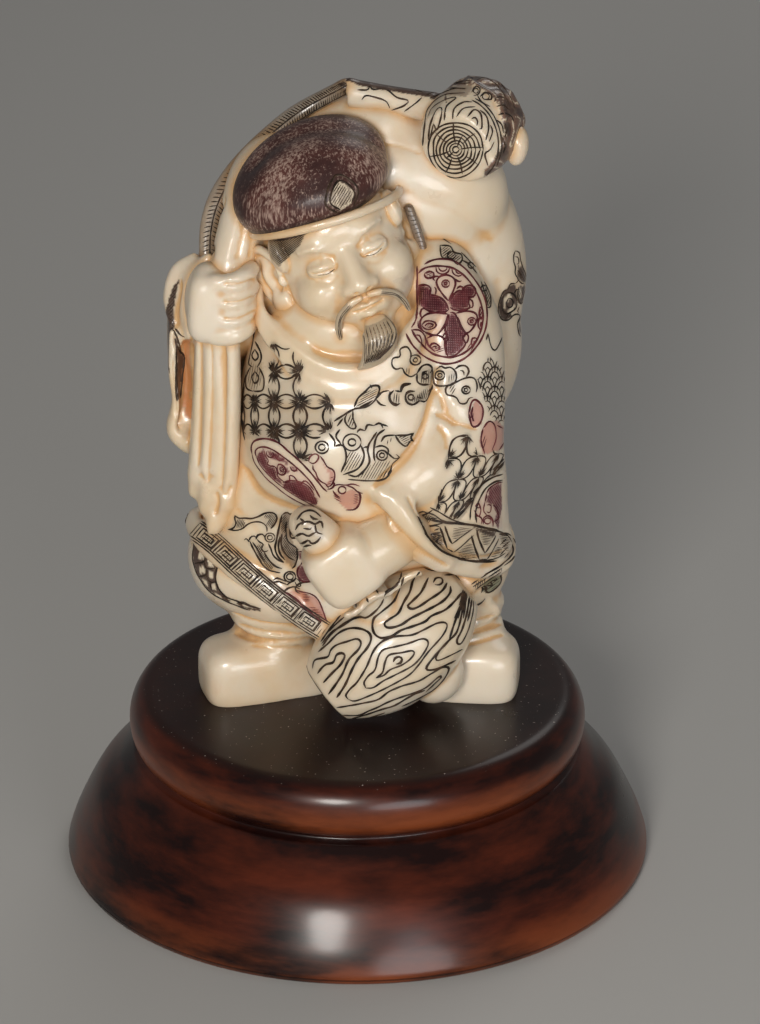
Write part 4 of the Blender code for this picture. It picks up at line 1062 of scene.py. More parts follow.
        "70 0.22 : 330 122 352 120 380 122 400 150 372 180 335 178, 60 0.22 : 470 108 510 90 550 86 576 100 "
        "580 125 566 158 548 180 525 172 500 150 540 130, 62 0.24 : 440 270 500 275 500 322 560 400 600 440 "
        "520 424 470 350, 50 0.24 : 612 110 640 90 662 120 650 160 640 210 612 210 600 180, "
        "60 0.24 : 612 215 640 215 660 270 706 312 700 372 650 350 618 310, 80 0.22 : 666 172 690 168 "
        "702 192 698 222 680 236 666 222, 30 0.24 : 300 420 330 440 380 492 470 560 560 640 640 700 620 690 "
        "520 612 420 532 340 468",
    "robe lap stain dust":
        "440 265 505 270 530 312 610 420 600 446 520 428 470 350, 330 120 350 118 400 150 370 182 300 186, "
        "470 108 576 92 582 130 548 180 500 150",
    "robe lap stain bark":
        "612 104 640 88 690 92 694 110 668 125 664 170 704 190 700 225 664 232 690 292 712 312 704 372 "
        "672 415 632 372 598 320 588 260 600 180",
    "robe lap line red":
        "708 322 735 318 748 330 735 360 742 375, 722 400 705 425 705 460 725 490 755 502 790 492 800 480, "
        "722 400 745 385 770 392 790 420, 622 562 650 575 690 600 730 640 790 690 850 740, 690 548 730 560 "
        "790 575 830 610 860 680 880 740",
    "robe lap hatch red":
        "-10 0.24 : 715 420 760 395 790 425 795 480 755 498 718 478, -60 0.22 : 712 325 745 325 735 372 "
        "715 360, 2 0.26 : 730 568 782 578 782 628 735 622, -5 0.26 : 760 640 830 660 862 700 868 730 "
        "820 710",
    "robe lap stain maroon":
        "710 322 748 326 738 372 712 362, 722 402 765 390 792 425 798 480 755 500 718 482 705 445",
    "robe lap stain rose":
        "650 560 730 562 830 600 870 700 880 745 820 712 740 640",
    "robe lap stain blush":
        "560 500 700 545 650 575 600 545",
    "robe cuff line ink":
        "0 2 50 14 110 24 180 30 250 38 320 48 400 66 480 84, 0 12 60 24 130 36 200 40 300 50 400 74 480 92 "
        "520 104, -40 100 0 150 50 205 100 240 180 272 260 292 340 298 420 290 480 272 530 240, 70 62 90 110 "
        "104 160 122 214, 104 52 120 100 140 150 156 178, 156 178 210 136 262 98 300 72, 168 236 220 196 "
        "280 140 306 118, 122 214 168 236, 290 120 306 180 326 240 346 290, 326 80 340 140 360 190 384 244, "
        "384 244 414 200 440 160 462 118, 400 286 430 240 462 180 482 140, 346 290 400 286, 488 262 520 224 "
        "548 196, 520 276 552 240 572 214, 490 186 516 160 540 140, 500 210 530 184 556 160, 482 110 530 112 "
        "560 140 578 190 580 236 560 270 520 306 470 350, 500 104 552 110 590 150 602 200 600 244 572 290 "
        "520 330, 30 84 66 70, 0 60 40 50 70 62, 20 110 60 118 96 130, 290 462 350 420 420 374 480 340 "
        "520 310, 300 480 360 440 440 390 500 350, 318 500 370 460 440 412 500 374, 360 520 368 488 350 470, "
        "368 488 400 500 392 470 440 470 420 440 470 430 440 410, 310 608 340 598 376 578",
    "robe cuff hatch ink":
        "-8 0.26 : 160 66 262 60 290 76 216 130 164 166 150 120, -8 0.26 : 188 236 286 150 300 180 330 282 "
        "260 284 200 268, -8 0.26 : 340 66 460 90 456 116 390 222 366 180 350 110, -8 0.26 : 420 280 484 160 "
        "500 200 510 240 474 270, -8 0.26 : 10 110 80 80 112 210 50 190 14 160, -8 0.26 : 480 96 540 110 "
        "580 160 584 230 540 262 506 200 486 130, 80 0.3 : 290 462 500 340 520 360 320 500, 40 0.3 : 360 500 "
        "450 410 490 400 470 440 420 490 370 520",
    "robe cuff stain dust":
        "0 20 200 40 400 76 560 110 600 200 560 280 480 276 340 300 180 276 60 210 0 150",
    "robe cuff stain umber":
        "300 60 470 96 440 130 380 110 330 90",
    "robe cuff stain moss":
        "360 500 380 450 430 410 490 390 480 440 430 480 380 520",
    "robe skirt line ink":
        "-40 240 10 200 60 190, 90 170 130 120 150 100",
    "robe edge line ink":
        "330 265 420 310 520 370 600 410 700 440 880 465, 300 320 380 350 450 400 520 425 600 430, 200 330 "
        "250 310 320 335, 190 360 230 430 265 500 310 590, 270 395 340 390 420 380, 265 480 370 460 480 435, "
        "310 580 370 550 440 545",
    "robe edge hatch ink":
        "20 0.24 : 195 345 250 315 340 350 420 380 270 395 230 430, -30 0.26 : 320 580 440 545 470 640 "
        "480 720 400 660",
    "sack rose line ink":
        "722 165 712 190 712 230 722 262 720 300 740 340 722 360, 722 360 690 365 678 395 650 410 625 470 "
        "620 530 640 575 680 580 712 550 740 545 752 560, 752 560 735 600 742 660 765 680 790 620, 722 165 "
        "745 175 752 215 765 260 782 300 790 360, 740 340 760 360 790 365, 655 430 640 470 645 520 668 545 "
        "700 530 725 505 730 460 712 425 680 415 655 430, 680 450 668 480 678 505 700 500 708 470 695 450 "
        "680 450, 740 380 735 430 742 470 760 480 780 450, 745 500 735 530 760 545 785 520, 722 200 738 205 "
        "742 240 730 245, 735 280 750 300 760 330, 655 430 640 420, 712 425 725 400 745 395, 645 520 625 530",
    "sack rose hatch ink":
        "70 0.24 : 740 260 765 270 785 330 785 362 755 352 735 310, 60 0.24 : 640 425 655 432 642 475 "
        "648 520 660 548 700 535 700 560 660 575 630 545 628 480, 75 0.24 : 735 385 790 380 790 450 762 478 "
        "740 470",
    "sack rose stain umber":
        "735 255 768 262 792 360 760 352 735 320, 650 412 690 370 715 368 735 395 730 460 722 510 690 540 "
        "712 552 680 580 640 575 620 530 625 470, 742 375 795 370 795 460 760 482 740 462, 745 560 790 520 "
        "792 620 765 676 745 650",
    "sack rose stain bone":
        "660 440 685 425 700 445 665 475 662 510 650 500 648 470, 690 505 712 480 722 500 700 528 675 535, "
        "742 400 755 390 765 440 750 460, 750 590 765 570 770 610 755 640",
    "legs sleeve line ink":
        "610 870 700 800 790 745, 612 890 720 810 800 750, 620 915 720 850 780 800, 780 800 785 860 740 910 "
        "700 925 690 890 670 880 700 850, 625 1010 665 990 690 960",
    "legs sleeve hatch ink":
        "40 0.35 : 700 850 780 800 780 860 740 905 705 910",
    "legs sleeve stain moss":
        "690 860 780 800 785 870 740 915 690 930 670 890",
    "legs cuff line ink":
        "290 462 350 420 420 374 480 340 520 310, 300 480 360 440 440 390 500 350, 318 500 370 460 440 412 "
        "500 374, 360 520 368 488 350 470, 368 488 400 500 392 470 440 470 420 440 470 430 440 410, 310 608 "
        "340 598 376 578",
    "legs cuff hatch ink":
        "80 0.3 : 290 462 500 340 520 360 320 500, 40 0.3 : 360 500 450 410 490 400 470 440 420 490 370 520",
    "legs cuff stain moss":
        "360 500 380 450 430 410 490 390 480 440 430 480 380 520",
    "legs skirt stain umber":
        "160 235 140 290 135 400 150 480 185 550 240 620 320 665 400 700 480 730 545 740 540 722 470 700 "
        "400 672 340 650 300 610 275 560 275 500 290 440 262 400 200 360",
    "legs skirt line ink":
        "262 400 290 440 276 500 276 560 300 612 345 655 400 674 470 702 545 722, 150 330 135 400 150 480 "
        "185 550 240 620 320 668 400 702 480 732, 190 370 215 400 250 412 262 400, 215 400 205 440 150 450, "
        "205 440 222 480 270 480, 222 480 215 520 170 530, 215 520 240 560 278 560, 240 560 250 610, 330 660 "
        "350 650, 400 690 430 680 460 690 500 712",
    "legs skirt stain bone":
        "160 300 185 310 180 345 155 340, 195 320 225 345 220 375 192 360, 180 375 205 385 200 425 168 420, "
        "195 540 225 560 232 590 205 575, 250 570 272 575 278 612 255 610, 262 625 300 640 320 662 280 650, "
        "350 660 395 672 410 700 365 690, 222 420 255 430 262 465 232 470, 178 470 205 465 212 505 180 512, "
        "228 500 262 500 262 540 240 545, 430 690 480 705 500 722 450 712",
    "lowerMallet mallet line ink":
        "590 622 600 598 628 590 642 605 630 628 605 634, 485 718 525 685 540 625 565 580 640 566 700 554 "
        "716 568 690 605 640 640 570 668 535 700 485 718, 425 778 414 745 440 705 480 668 500 590 530 548 "
        "600 530 680 510 765 482 800 505 775 565 710 640 600 700 530 735 470 775 425 778, 320 845 305 822 "
        "330 785 375 740 430 650 470 560 520 502 600 470 700 460 770 430 850 390 900 385 912 410 880 470 "
        "800 560 740 640 680 702 560 770 450 822 360 855 320 845, 250 895 340 880 420 865 500 845 560 800 "
        "640 765 740 735 810 695 880 655 922 655 905 705 840 780 740 840 640 888, 285 940 380 940 440 915 "
        "500 890 560 860 640 830 730 800 790 770 860 710 876 714 840 748 785 800, 310 968 420 938 520 905 "
        "600 880 700 822 780 790, 330 975 440 955 540 925, 1022 195 1000 330 970 440 920 495 860 560 795 640 "
        "795 668 850 662 920 632 965 612, 905 505 862 565 845 600 860 612 920 588 1005 545, 1018 170 "
        "1010 255 962 370 925 485, 1050 205 1030 330 1000 430 972 485 978 512 1002 503 1042 420 1070 300 "
        "1062 205, 1005 200 1000 240 985 280, 912 145 880 195 800 250 740 290 700 302 678 285 700 262 "
        "760 200 800 115, 932 165 928 208 880 260 790 310 700 355 640 395 590 412 550 412 538 390 560 370 "
        "620 330 650 270 690 200 710 130 752 78, 1000 205 960 255 900 310 820 345 780 380 700 410 640 430 "
        "580 465 520 478 480 455 465 410 475 360 520 320 590 260 630 180 662 88, 640 72 630 130 590 180 "
        "545 210 520 270 480 320 430 355 390 350 340 370 280 410 220 440 160 510, 830 145 845 118 880 120 "
        "885 145 860 160 838 155, 140 560 200 510 260 450 330 420 400 425 445 450 455 490 430 540 380 600 "
        "340 670 300 760 250 835, 105 660 120 610 195 592 215 550 250 520 310 500 370 483 395 505 380 545 "
        "320 610 280 700 200 815, 135 690 180 640 230 625 250 580 285 570 298 590 270 640 220 690 170 745, "
        "155 500 215 415 275 340, 165 525 230 440 330 370 390 350, 200 440 240 400 295 352, 370 320 365 260 "
        "380 250, 430 235 440 265, 490 190 500 215, 540 200 600 170 635 110, 895 100 960 104 1010 150 "
        "1040 175, 930 75 1000 128 1050 170, 700 20 760 50 830 75 905 72",
    "lowerMallet mallet stain dust":
        "280 340 520 150 640 90 560 230 430 350 330 370 200 480 150 520 200 430",
    "lowerMallet skirt line ink":
        "760 190 790 150 830 132 870 140 905 170, 752 250 775 215 830 200 870 215 905 200 918 240, 870 215 "
        "880 260 915 275, 750 290 790 270 830 285 860 270 880 262, 752 320 790 330 830 310 850 330 880 320 "
        "905 290, 800 352 830 340 850 345, 780 180 800 200 790 220, 840 160 860 180 890 185, 800 240 840 245 "
        "850 235",
    "lowerMallet skirt stain dust":
        "745 180 830 130 910 160 920 300 840 350 760 330",
    "lowerMallet cuff stain dust":
        "100 340 280 360 290 460 240 560 120 560 60 480",
    "lowerMallet cuff hatch ink":
        "60 0.26 : 130 345 250 360 290 460 240 480 200 440 150 400",
    "lowerMallet cuff line ink":
        "140 350 200 380 260 400 300 470, 180 400 220 440 250 482, 120 390 180 400 230 420, 236 470 222 560 "
        "196 700, 262 480 250 570 232 700, 284 480 290 560 280 640 262 720, 240 520 210 620 170 700",
    "cap head line ink":
        "452 460 402 418 445 308 528 355 515 430, 462 446 420 412 455 330 516 372 506 418",
    "cap head stain bone":
        "408 420 450 325 520 370 508 422 460 450",
    "cap head hatch ink":
        "60 0.34 : 415 418 452 335 512 372 503 415 462 440",
    "upperMallet top line ink":
        "165 190 225 190 240 165 258 188 335 185 400 235 470 255 440 285 370 312, 190 250 215 225 270 235 "
        "335 258 360 300, 445 320 520 265 552 235, 180 92 300 103 420 135 520 160 610 172, 200 112 330 122 "
        "450 150 600 195, 225 132 380 148 560 205, 100 130 140 95 200 90, 90 140 130 120 190 125, 215 95 "
        "240 135, 400 132 480 150 560 180, 555 525 568 400 590 300 680 222 810 207, 590 490 600 400 635 315 "
        "665 295 670 330 640 432 622 395 600 485, 685 372 698 290 755 240 735 235 670 258 610 300 590 345, "
        "735 365 745 302 800 264 855 262, 758 352 800 302 872 290, 825 350 865 308 905 335 912 415 895 425, "
        "848 365 868 355 885 378 880 405, 900 310 940 350 952 420 935 492, 962 400 975 440 955 500, 985 500 "
        "960 550 930 575 950 650, 640 150 740 118 860 118, 620 190 700 160 840 148, 600 212 720 180 812 185, "
        "850 250 900 280 960 345 1000 440 1010 540 985 640 920 725, 870 240 930 280 985 350 1020 440 "
        "1030 540 1000 650, 558 198 720 120 864 102, 576 222 720 156 840 132, 600 240 732 186 816 180, "
        "880 130 930 115 985 125 1020 160, 850 205 870 170 900 180 890 215 860 225, 900 230 930 205 965 215 "
        "970 245 940 250, 985 260 1010 230 1050 240, 1000 290 1040 280 1075 310, 1010 340 1050 330 1090 350 "
        "1100 380, 1000 370 1030 400 1040 450, 1050 390 1060 430 1050 480, 940 120 990 150 1040 210 "
        "1075 280, 960 105 1020 145 1080 230 1110 300, 880 215 910 260 960 290, 1030 470 1050 520 1040 570",
    "upperMallet top stain bark":
        "562 204 672 112 792 90 876 94 850 180 816 232 690 214 606 246",
    "upperMallet top stain umber":
        "215 92 400 118 610 162 606 186 480 156 250 112",
    "upperMallet top stain dust":
        "560 520 560 400 590 290 700 190 860 110 900 110 840 220 700 230 640 320 600 500",
    "upperMallet top ring ink":
        "935 228 22, 875 195 16",
    "head head patch ink":
        "hair 38 0.24 : 160 575 235 535 330 525 300 590 250 640 215 675 185 640",
    # Painted shade inside the hanging sleeve's opening, in warm orange
    "hangingCloth side stain rust":
        "128 650 165 640 168 960 140 960 130 900 134 760",
    "hangingCloth side patch ink":
        "umber 50 0.34 -40 0.5 : 120 402 96 425 76 480 60 540 54 620 62 720 78 780 74 700 80 610 100 600 "
        "92 540 104 470",
    "hangingCloth side stain umber":
        "100 640 130 700 142 720 128 780 120 880 108 890 106 800 110 720",
    "hangingCloth side line ink":
        "98 640 118 690 138 716 130 790 122 880, 104 640 106 720 104 810 108 890, 90 600 110 640 126 700, "
        "100 600 120 625 140 636"}


# Engraving: inked lines that follow the skin

inkWidths = {"line": 0.42, "ring": 0.37, "hatch": 0.2, "band": 0.36, "petal": 0.42, "grain": 0.5,
             "hair": 0.17}
# How ink lies on the skin: its points' spacing, the widest jump in a line, and how deep a thread sinks
inkLay = {"spacing": 0.33, "jump": 1.3, "sunk": 0.42, "hatchSpacing": 0.12, "hatchWobble": 0.06}
runs = {"ink": [], "red": []}
rayFrom = {
    "front": lambda u, v: (viewpoint, Vector((u, 0, v)) - viewpoint),
    "back": lambda u, v: (Vector((-u, 100, v)), Vector((0, -1, 0))),
    "right": lambda u, v: (Vector((100, u, v)), Vector((-1, 0, 0))),
    "left": lambda u, v: (Vector((-100, -u, v)), Vector((1, 0, 0)))}


def resampled(marks, step=inkLay["spacing"], curved=True):
    marks = np.array(marks, float)
    if curved and len(marks) > 2:
        marks = curveThrough(marks, 6)
    lengths = np.concatenate([[0], np.cumsum(np.linalg.norm(np.diff(marks, axis=0), axis=1))])
    count = max(2, int(lengths[-1] / step) + 1)
    even = np.linspace(0, lengths[-1], count)
    if not curved:
        even = np.unique(np.concatenate([even, lengths]))
    return np.stack([np.interp(even, lengths, marks[:, k]) for k in range(marks.shape[1])], axis=1)


def lay(piece, ink, marks, width, seen="front", region=None, curved=True):
    # Lays one line on a piece, and leaves out what misses it or falls outside the region
    tree = trees[piece]
    marks = resampled(marks, curved=curved)
    kept = np.ones(len(marks), bool) if region is None else within(region, marks)
    run = []
    for mark, keep in zip(marks.tolist(), kept):
        hit = None
        if keep and len(mark) == 3:
            hit, normal = tree.find_nearest(Vector(mark))[:2]
        elif keep:
            hit, normal = tree.ray_cast(*rayFrom[seen](*mark))[:2]
        if hit is None or (run and (hit - run[-1][0]).length > inkLay["jump"]):
            keepRun(ink, run, width)
            run = []
        if hit is not None:
            run.append((hit, normal))
    keepRun(ink, run, width)


def keepRun(ink, run, width):
    if len(run) > 2:
        hits, normals = zip(*run)
        runs[ink].append((np.array(hits), np.array(normals), width))


def hatchLines(angle, pitch, polygon):
    turn = math.radians(angle)
    along, across = np.array((math.cos(turn), math.sin(turn))), np.array((-math.sin(turn), math.cos(turn)))
    corners = np.array(polygon, float)
    low, high = (corners @ across).min(), (corners @ across).max()
    near, far = (corners @ along).min(), (corners @ along).max()
    found = []
    for k, offset in enumerate(np.arange(low + pitch / 2, high, pitch)):
        shift = offset + inkLay["hatchWobble"] * pitch * math.sin(5.0 * k)
        spots = along * np.arange(near, far, inkLay["hatchSpacing"])[:, None] + across * shift
        inside = within(polygon, spots)
        start = None
        for i, flag in enumerate([*inside, False]):
            if flag and start is None:
                start = i
            elif not flag and start is not None:
                if i - start > 3:
                    found.append(spots[[start, i - 1]])
                start = None
    return found


def ringLine(u, v, radius, squash=1):
    return [(u + radius * math.cos(a), v + radius * squash * math.sin(a))
            for a in np.linspace(0, 2 * math.pi, 13)]


def onFigure(sheet, spots):
    # From a sheet's units to marks, along the lines of sight
    left, top, enlarged = sheets[sheet]
    focal = view["lens"] / view["sensor"] * photoFrame["height"]
    across, down = np.array(spots, float).T / enlarged
    right = (left + across - photoFrame["width"] / 2) / focal
    low = (top + down - photoFrame["height"] / 2) / focal
    reach = -viewpoint.y / (math.cos(tilt) - low * math.sin(tilt))
    return np.stack([viewpoint.x + reach * right,
                     viewpoint.z - reach * (math.sin(tilt) + low * math.cos(tilt))], axis=1).tolist()


def spotsOf(sheet, text):
    return onFigure(sheet, np.array(text.split(), float).reshape(-1, 2))


def drawSheets():
    for key, rows in drawings.items():
        piece, sheet, kind, ink = key.split()
        lineWidth = inkWidths[{"lowerMallet": "grain", "upperMallet": "band"}.get(piece, "line")]
        for row in rows.split(", "):
            if kind == "line":
                lay(piece, ink, spotsOf(sheet, row), lineWidth)
            elif kind == "ring":
                x, y, radius = map(float, row.split())
                (u, v), (side, _) = onFigure(sheet, [(x, y), (x + radius, y)])
                lay(piece, ink, ringLine(u, v, side - u), inkWidths["ring"])
            elif kind in ("hatch", "patch"):
                head, polygon = row.split(" : ")
                pairs = [float(part) for part in head.split()[kind == "patch":]]
                for angle, pitch in zip(pairs[::2], pairs[1::2]):
                    for line in hatchLines(angle, pitch, spotsOf(sheet, polygon)):
                        lay(piece, ink, line, inkWidths["hatch"], curved=False)


endGrain = {"sheet": "top", "middle": (755, 548), "rings": (165, 141, 118, 96, 75, 55, 37, 20),
            "checks": ((95, 40, 165), (40, 60, 150), (5, 25, 160), (-35, 70, 160), (-75, 40, 150),
                       (-115, 60, 165), (-165, 40, 160), (140, 60, 160), (65, 20, 90), (-140, 20, 80))}


def drawEndGrain(piece):
    # Uneven rings, and checks that run out across them
    x, y = endGrain["middle"]
    for k, radius in enumerate(endGrain["rings"]):
        ring = []
        for a in np.linspace(0, 2 * math.pi, 13):
            high = 1 + 0.03 * math.sin(3 * a + k)
            wide = high + 0.025 * math.sin(7 * a + 2 * k)
            ring.append((x + radius * wide * math.cos(a), y - radius * high * math.sin(a)))
        lay(piece, "ink", onFigure(endGrain["sheet"], ring), inkWidths["band"])
    for angle, inner, outer in endGrain["checks"]:
        turns = [math.radians(angle) + lean for lean in (0, 0.05, 0)]
        check = [(x + reach * math.cos(turn), y - reach * math.sin(turn))
                 for turn, reach in zip(turns, (inner, (inner + outer) / 2, outer))]
        lay(piece, "ink", onFigure(endGrain["sheet"], check), inkWidths["band"])


petals = {"arcSteps": (0, 0.15, 0.32, 0.5, 0.68, 0.85, 1), "ends": (0.06, 0.94),
          "slants": (-0.17, -0.12, -0.07, -0.02, 0.03, 0.08, 0.13, 0.18), "leans": (-0.36, 0, 0.36)}


def petalGrid(piece, columns, rows, place, region, fat=0.24, shade=1, seen="front"):
    # Interlaced circles: two arcs on each side of a square net, with little strokes at its knots
    for i in range(*columns):
        for j in range(*rows):
            for di, dj in ((1, 0), (0, 1)):
                for side in (-1, 1):
                    arcs = [place(i + di * t - dj * side * fat * math.sin(math.pi * t),
                                  j + dj * t + di * side * fat * math.sin(math.pi * t))
                            for t in petals["arcSteps"]]
                    lay(piece, "ink", arcs, inkWidths["petal"] * (0.6 + 0.4 * shade), seen, region)
                for end, slant in itertools.product(petals["ends"], petals["slants"]):
                    length = shade * (0.36 - 0.8 * abs(slant) + 0.06 * math.sin(7 * i + 11 * j + 40 * slant))
                    reach = end + (length if end < 0.5 else -length)
                    lay(piece, "ink", [place(i + di * end, j + dj * end),
                                       place(i + di * reach - dj * slant, j + dj * reach + di * slant)],
                        inkWidths["hatch"] * shade, seen, region)
            # Short strokes outside the petals, round the knot
            for turn, lean in itertools.product(np.radians(range(45, 360, 90)), petals["leans"]):
                across, along = math.cos(turn + lean), math.sin(turn + lean)
                stroke = [place(i + reach * across, j + reach * along)
                          for reach in (0.09, 0.06 + 0.2 * shade)]
                lay(piece, "ink", stroke, inkWidths["hatch"] * shade, seen, region)


def scaleRows(piece, columns, rows, place, region, seen="front"):
    # Rows of scales, each with two smaller ones inside it
    for j in range(*rows):
        for i in range(*columns):
            middle = i + (j % 2) / 2
            for share in (1, 0.66, 0.3):
                arcs = [place(middle + 0.5 * share * math.cos(a), 0.5 * j + 0.75 * share * math.sin(a))
                        for a in np.linspace(0, math.pi, 8)]
                lay(piece, "ink", arcs, inkWidths["band"], seen, region)


def blossom(piece, u, v, size, seen):
    # A ring with five round petals, and short strokes at the heart of each
    lay(piece, "ink", ringLine(u, v, 0.24 * size), inkWidths["ring"], seen)
    petal = ((0.3, -0.3), (0.7, -0.56), (0.96, -0.3), (0.88, 0), (0.96, 0.3), (0.7, 0.56), (0.3, 0.3))
    strokes = [((0.34, lean), (0.6 - abs(lean), 1.3 * lean)) for lean in (-0.2, -0.1, 0, 0.1, 0.2)]
    for middle in np.radians(range(18, 378, 72)):
        for k, marks in enumerate([petal, *strokes]):
            turned = [(u + size * reach * math.cos(middle + lean), v + size * reach * math.sin(middle + lean))
                      for reach, lean in marks]
            lay(piece, "ink", turned, inkWidths["hatch" if k else "line"], seen)


def fretBand(piece, path, half, cell, seen="front"):
    # A key pattern between double edges, along a path of marks or places
    rows = resampled(path, 0.2)
    lengths = np.concatenate([[0], np.cumsum(np.linalg.norm(np.diff(rows, axis=0), axis=1))])

    def at(s, t):
        spot = np.array([np.interp(s, lengths, rows[:, k]) for k in range(rows.shape[1])])
        if len(spot) == 3:
            return spot + np.array((0, 0, half * t))
        ahead = np.array([np.interp(s + 0.6, lengths, rows[:, k]) - np.interp(s - 0.6, lengths, rows[:, k])
                          for k in range(2)])
        ahead /= max(np.linalg.norm(ahead), 1e-9)
        return spot + half * t * np.array((-ahead[1], ahead[0]))

    def straight(marks, width):
        lay(piece, "ink", [at(start + s * cell, t) for s, t in marks], inkWidths[width], seen, curved=False)

    whole = lengths[-1]
    for t in (-1, -0.78, 0.78, 1):
        lay(piece, "ink", [at(s, t) for s in np.linspace(0, whole, 14)], inkWidths["band"], seen)
    for k in range(int(whole / cell)):
        start = k * cell
        for s in (0, 0.12):
            straight([(s, -0.78), (s, 0.78)], "band")
        for low, high, reach in ((0.24, 0.96, 0.56), (0.38, 0.82, 0.24)):
            key = [(low, -reach), (high, -reach), (high, reach), (low, reach), (low, -reach + 0.12)]
            straight(key, "band")
        straight([(0.5, 0), (0.72, 0)], "hatch")


# Where the nets and the scales lie on the robe, as marks seen from the front or the back
patternAreas = {
    "chest": ((-12.6, 55.8), (-9.5, 54.8), (-7.6, 52.6), (-8.2, 50.5), (-8, 47.6), (-4.4, 47.8), (-3.2, 45),
              (-3.6, 42), (-5, 41), (-6.2, 38.2), (-7.2, 36.4), (-10, 37.8), (-13, 40.5), (-16.8, 41),
              (-17.2, 46), (-16.8, 47.6), (-14.4, 47.6), (-13, 48.6), (-13, 52)),
    "sleeve": ((13.2, 36.9), (14, 40.2), (15.7, 41.6), (17, 41), (18.1, 37.9), (18.9, 37.6), (20.2, 38.8),
               (22, 37.8), (22, 34.8), (19.8, 34.1), (18.3, 32.5), (17.2, 30.1), (16.7, 27.6), (14.2, 27),
               (11.8, 28.6), (11.8, 30.3), (12.9, 32.9), (14.4, 33.8), (13, 35.8)),
    "scales": ((17.6, 50), (18.4, 52), (19.6, 53.8), (21, 52.6), (22.4, 50), (22.4, 43), (20.6, 42.8),
               (19.4, 44.4), (18.4, 47.6)),
    "seat": ((-11, 23.4), (-11, 29), (-7, 30.6), (7, 30.6), (10, 29), (10, 23.4))}
blossoms = ((-9, 66, 4.2), (5, 74, 3.4), (9.6, 53, 4.4), (-4.6, 47, 3.2), (-15, 52, 2.8))
branches = (((-15, 54.6), (-12, 60), (-6, 62), (1, 66), (4, 70.6)), ((-4, 50), (0, 56), (5, 56.4)),
            ((1, 66), (6, 63), (9, 57.6)), ((-6, 62), (-5, 56), (-4.6, 50.4)))
hemFront = ((-24.3, 25.6), (-21.4, 23.2), (-17.6, 19.2), (-13, 14.8), (-8.4, 11), (-5, 8.6))


def engraveSeam():
    # Slanted stitches between two edges, along the corded seam
    seam = marksOf(curveThrough(seamPath, 16))
    ahead = np.gradient(seam, axis=0)
    ahead /= np.linalg.norm(ahead, axis=1)[:, None]
    side = ahead[:, ::-1] * (-1, 1)
    for k, (spot, forward, out) in enumerate(zip(seam[::2], ahead[::2], side[::2])):
        slant = forward * (0.5 + 0.1 * math.sin(k))
        for reach in (-1, 1):
            lay("sackSeam", "ink", [spot + 0.1 * reach * out, spot + reach * out * 1.15 - slant],
                inkWidths["hatch"] * 1.3, curved=False)
    for reach in (-0.95, 0.1):
        lay("sackSeam", "ink", seam + reach * side, inkWidths["band"])


def engraveHair():
    for path, _, _ in beardStrokes:
        marks = marksOf(np.array(path))
        lay("beard", "ink", marks, inkWidths["hair"])
        lay("beard", "ink", marks[1:] + (0.22, 0.1), inkWidths["hair"])
    for side in (-1, 1):
        for drop in (-0.1, 0.16):
            path = onHead((side * 2.4, -11.3, -5 - drop), (side * 4.2, -10.4, -6.3 - drop),
                          (side * (5.1 - drop), -9.6, -8), (side * (5.4 - drop), -9, -9.8))
            lay("beard", "ink", marksOf(np.array(path)), inkWidths["hair"])
        lid = onHead((side * 2.4, -9.7, 0.45), (side * 3.7, -9.95, 0.25), (side * 5, -9.4, 0.5))
        lay("head", "ink", marksOf(np.array(lid)), inkWidths["hair"])


def engraveHem():
    # The hem in front, darkened between its keys
    spots = resampled(hemFront, 0.5)
    slope = np.gradient(spots, axis=0)
    slope = slope[:, ::-1] * (-1, 1) / np.linalg.norm(slope, axis=1)[:, None]
    for k, (spot, out) in enumerate(zip(spots, slope)):
        lay("robe", "ink", [spot - (1.2 - 0.5 * (k % 2)) * out, spot + (1.2 - 0.5 * (k % 3)) * out],
            inkWidths["hair"], curved=False)
    fretBand("robe", hemFront, 1.65, 4.1)


def engrave():
    drawSheets()
    drawEndGrain("upperMallet")
    petalGrid("robe", (-4, 1), (-3, 3),
              lambda i, j: (0.8 + 18.1 * math.sin(math.radians(15.5 * i - 15)), 46.3 + 4.75 * j),
              patternAreas["chest"])
    petalGrid("robe", (-3, 5), (0, 5),
              lambda i, j: (16.5 - 2.9 * i + 2.1 * j - 0.62 * j * j, 40.9 - 3.8 * i - 3.4 * j),
              patternAreas["sleeve"], fat=0.32, shade=0.85)
    scaleRows("robe", (-3, 5), (-8, 10), lambda i, j: (19.3 + 2.1 * i, 48 + 3.1 * j), patternAreas["scales"])
    engraveSeam()
    engraveHair()
    for k in range(14):
        low = 67.6 + 0.7 * k
        lay("ribbon", "ink", [(10.6, low), (9.4, low + 0.5), (8, low + 0.2), (6.6, low + 0.6)],
            inkWidths["hatch"])
    # The sides that the front doesn't show carry the same patterns, more thinly spread
    fretBand("robe", [(1.06 * x, 1.08 * y, z) for x, y, z, *_ in hemBack], 1.15, 4.1)
    for u, v, size in blossoms:
        blossom("sack", u, v, size, "back")
    for branch in branches:
        lay("sack", "ink", branch, inkWidths["line"], "back")
    petalGrid("robe", (-2, 3), (0, 2), lambda i, j: (4.4 * i - 1, 24.6 + 4.4 * j), patternAreas["seat"],
              shade=0.8, seen="back")
    for seen, u, v, radius in (("right", 2.6, 32.6, 4.6), ("left", -4, 32, 4)):
        inner = ringLine(u, v, radius - 0.8)
        lay("robe", "ink", ringLine(u, v, radius), inkWidths["line"], seen)
        lay("robe", "ink", inner, inkWidths["band"], seen)
        scaleRows("robe", (-3, 4), (-4, 4), lambda i, j: (u + 2.7 * i, v + 3.8 * j), inner[:-1], seen)
    for radius in (1.2, 2.4, 3.6, 4.6):
        lay("lowerMallet", "ink", ringLine(13, 4.9, radius, 0.82), inkWidths["band"], "left")
    engraveHem()


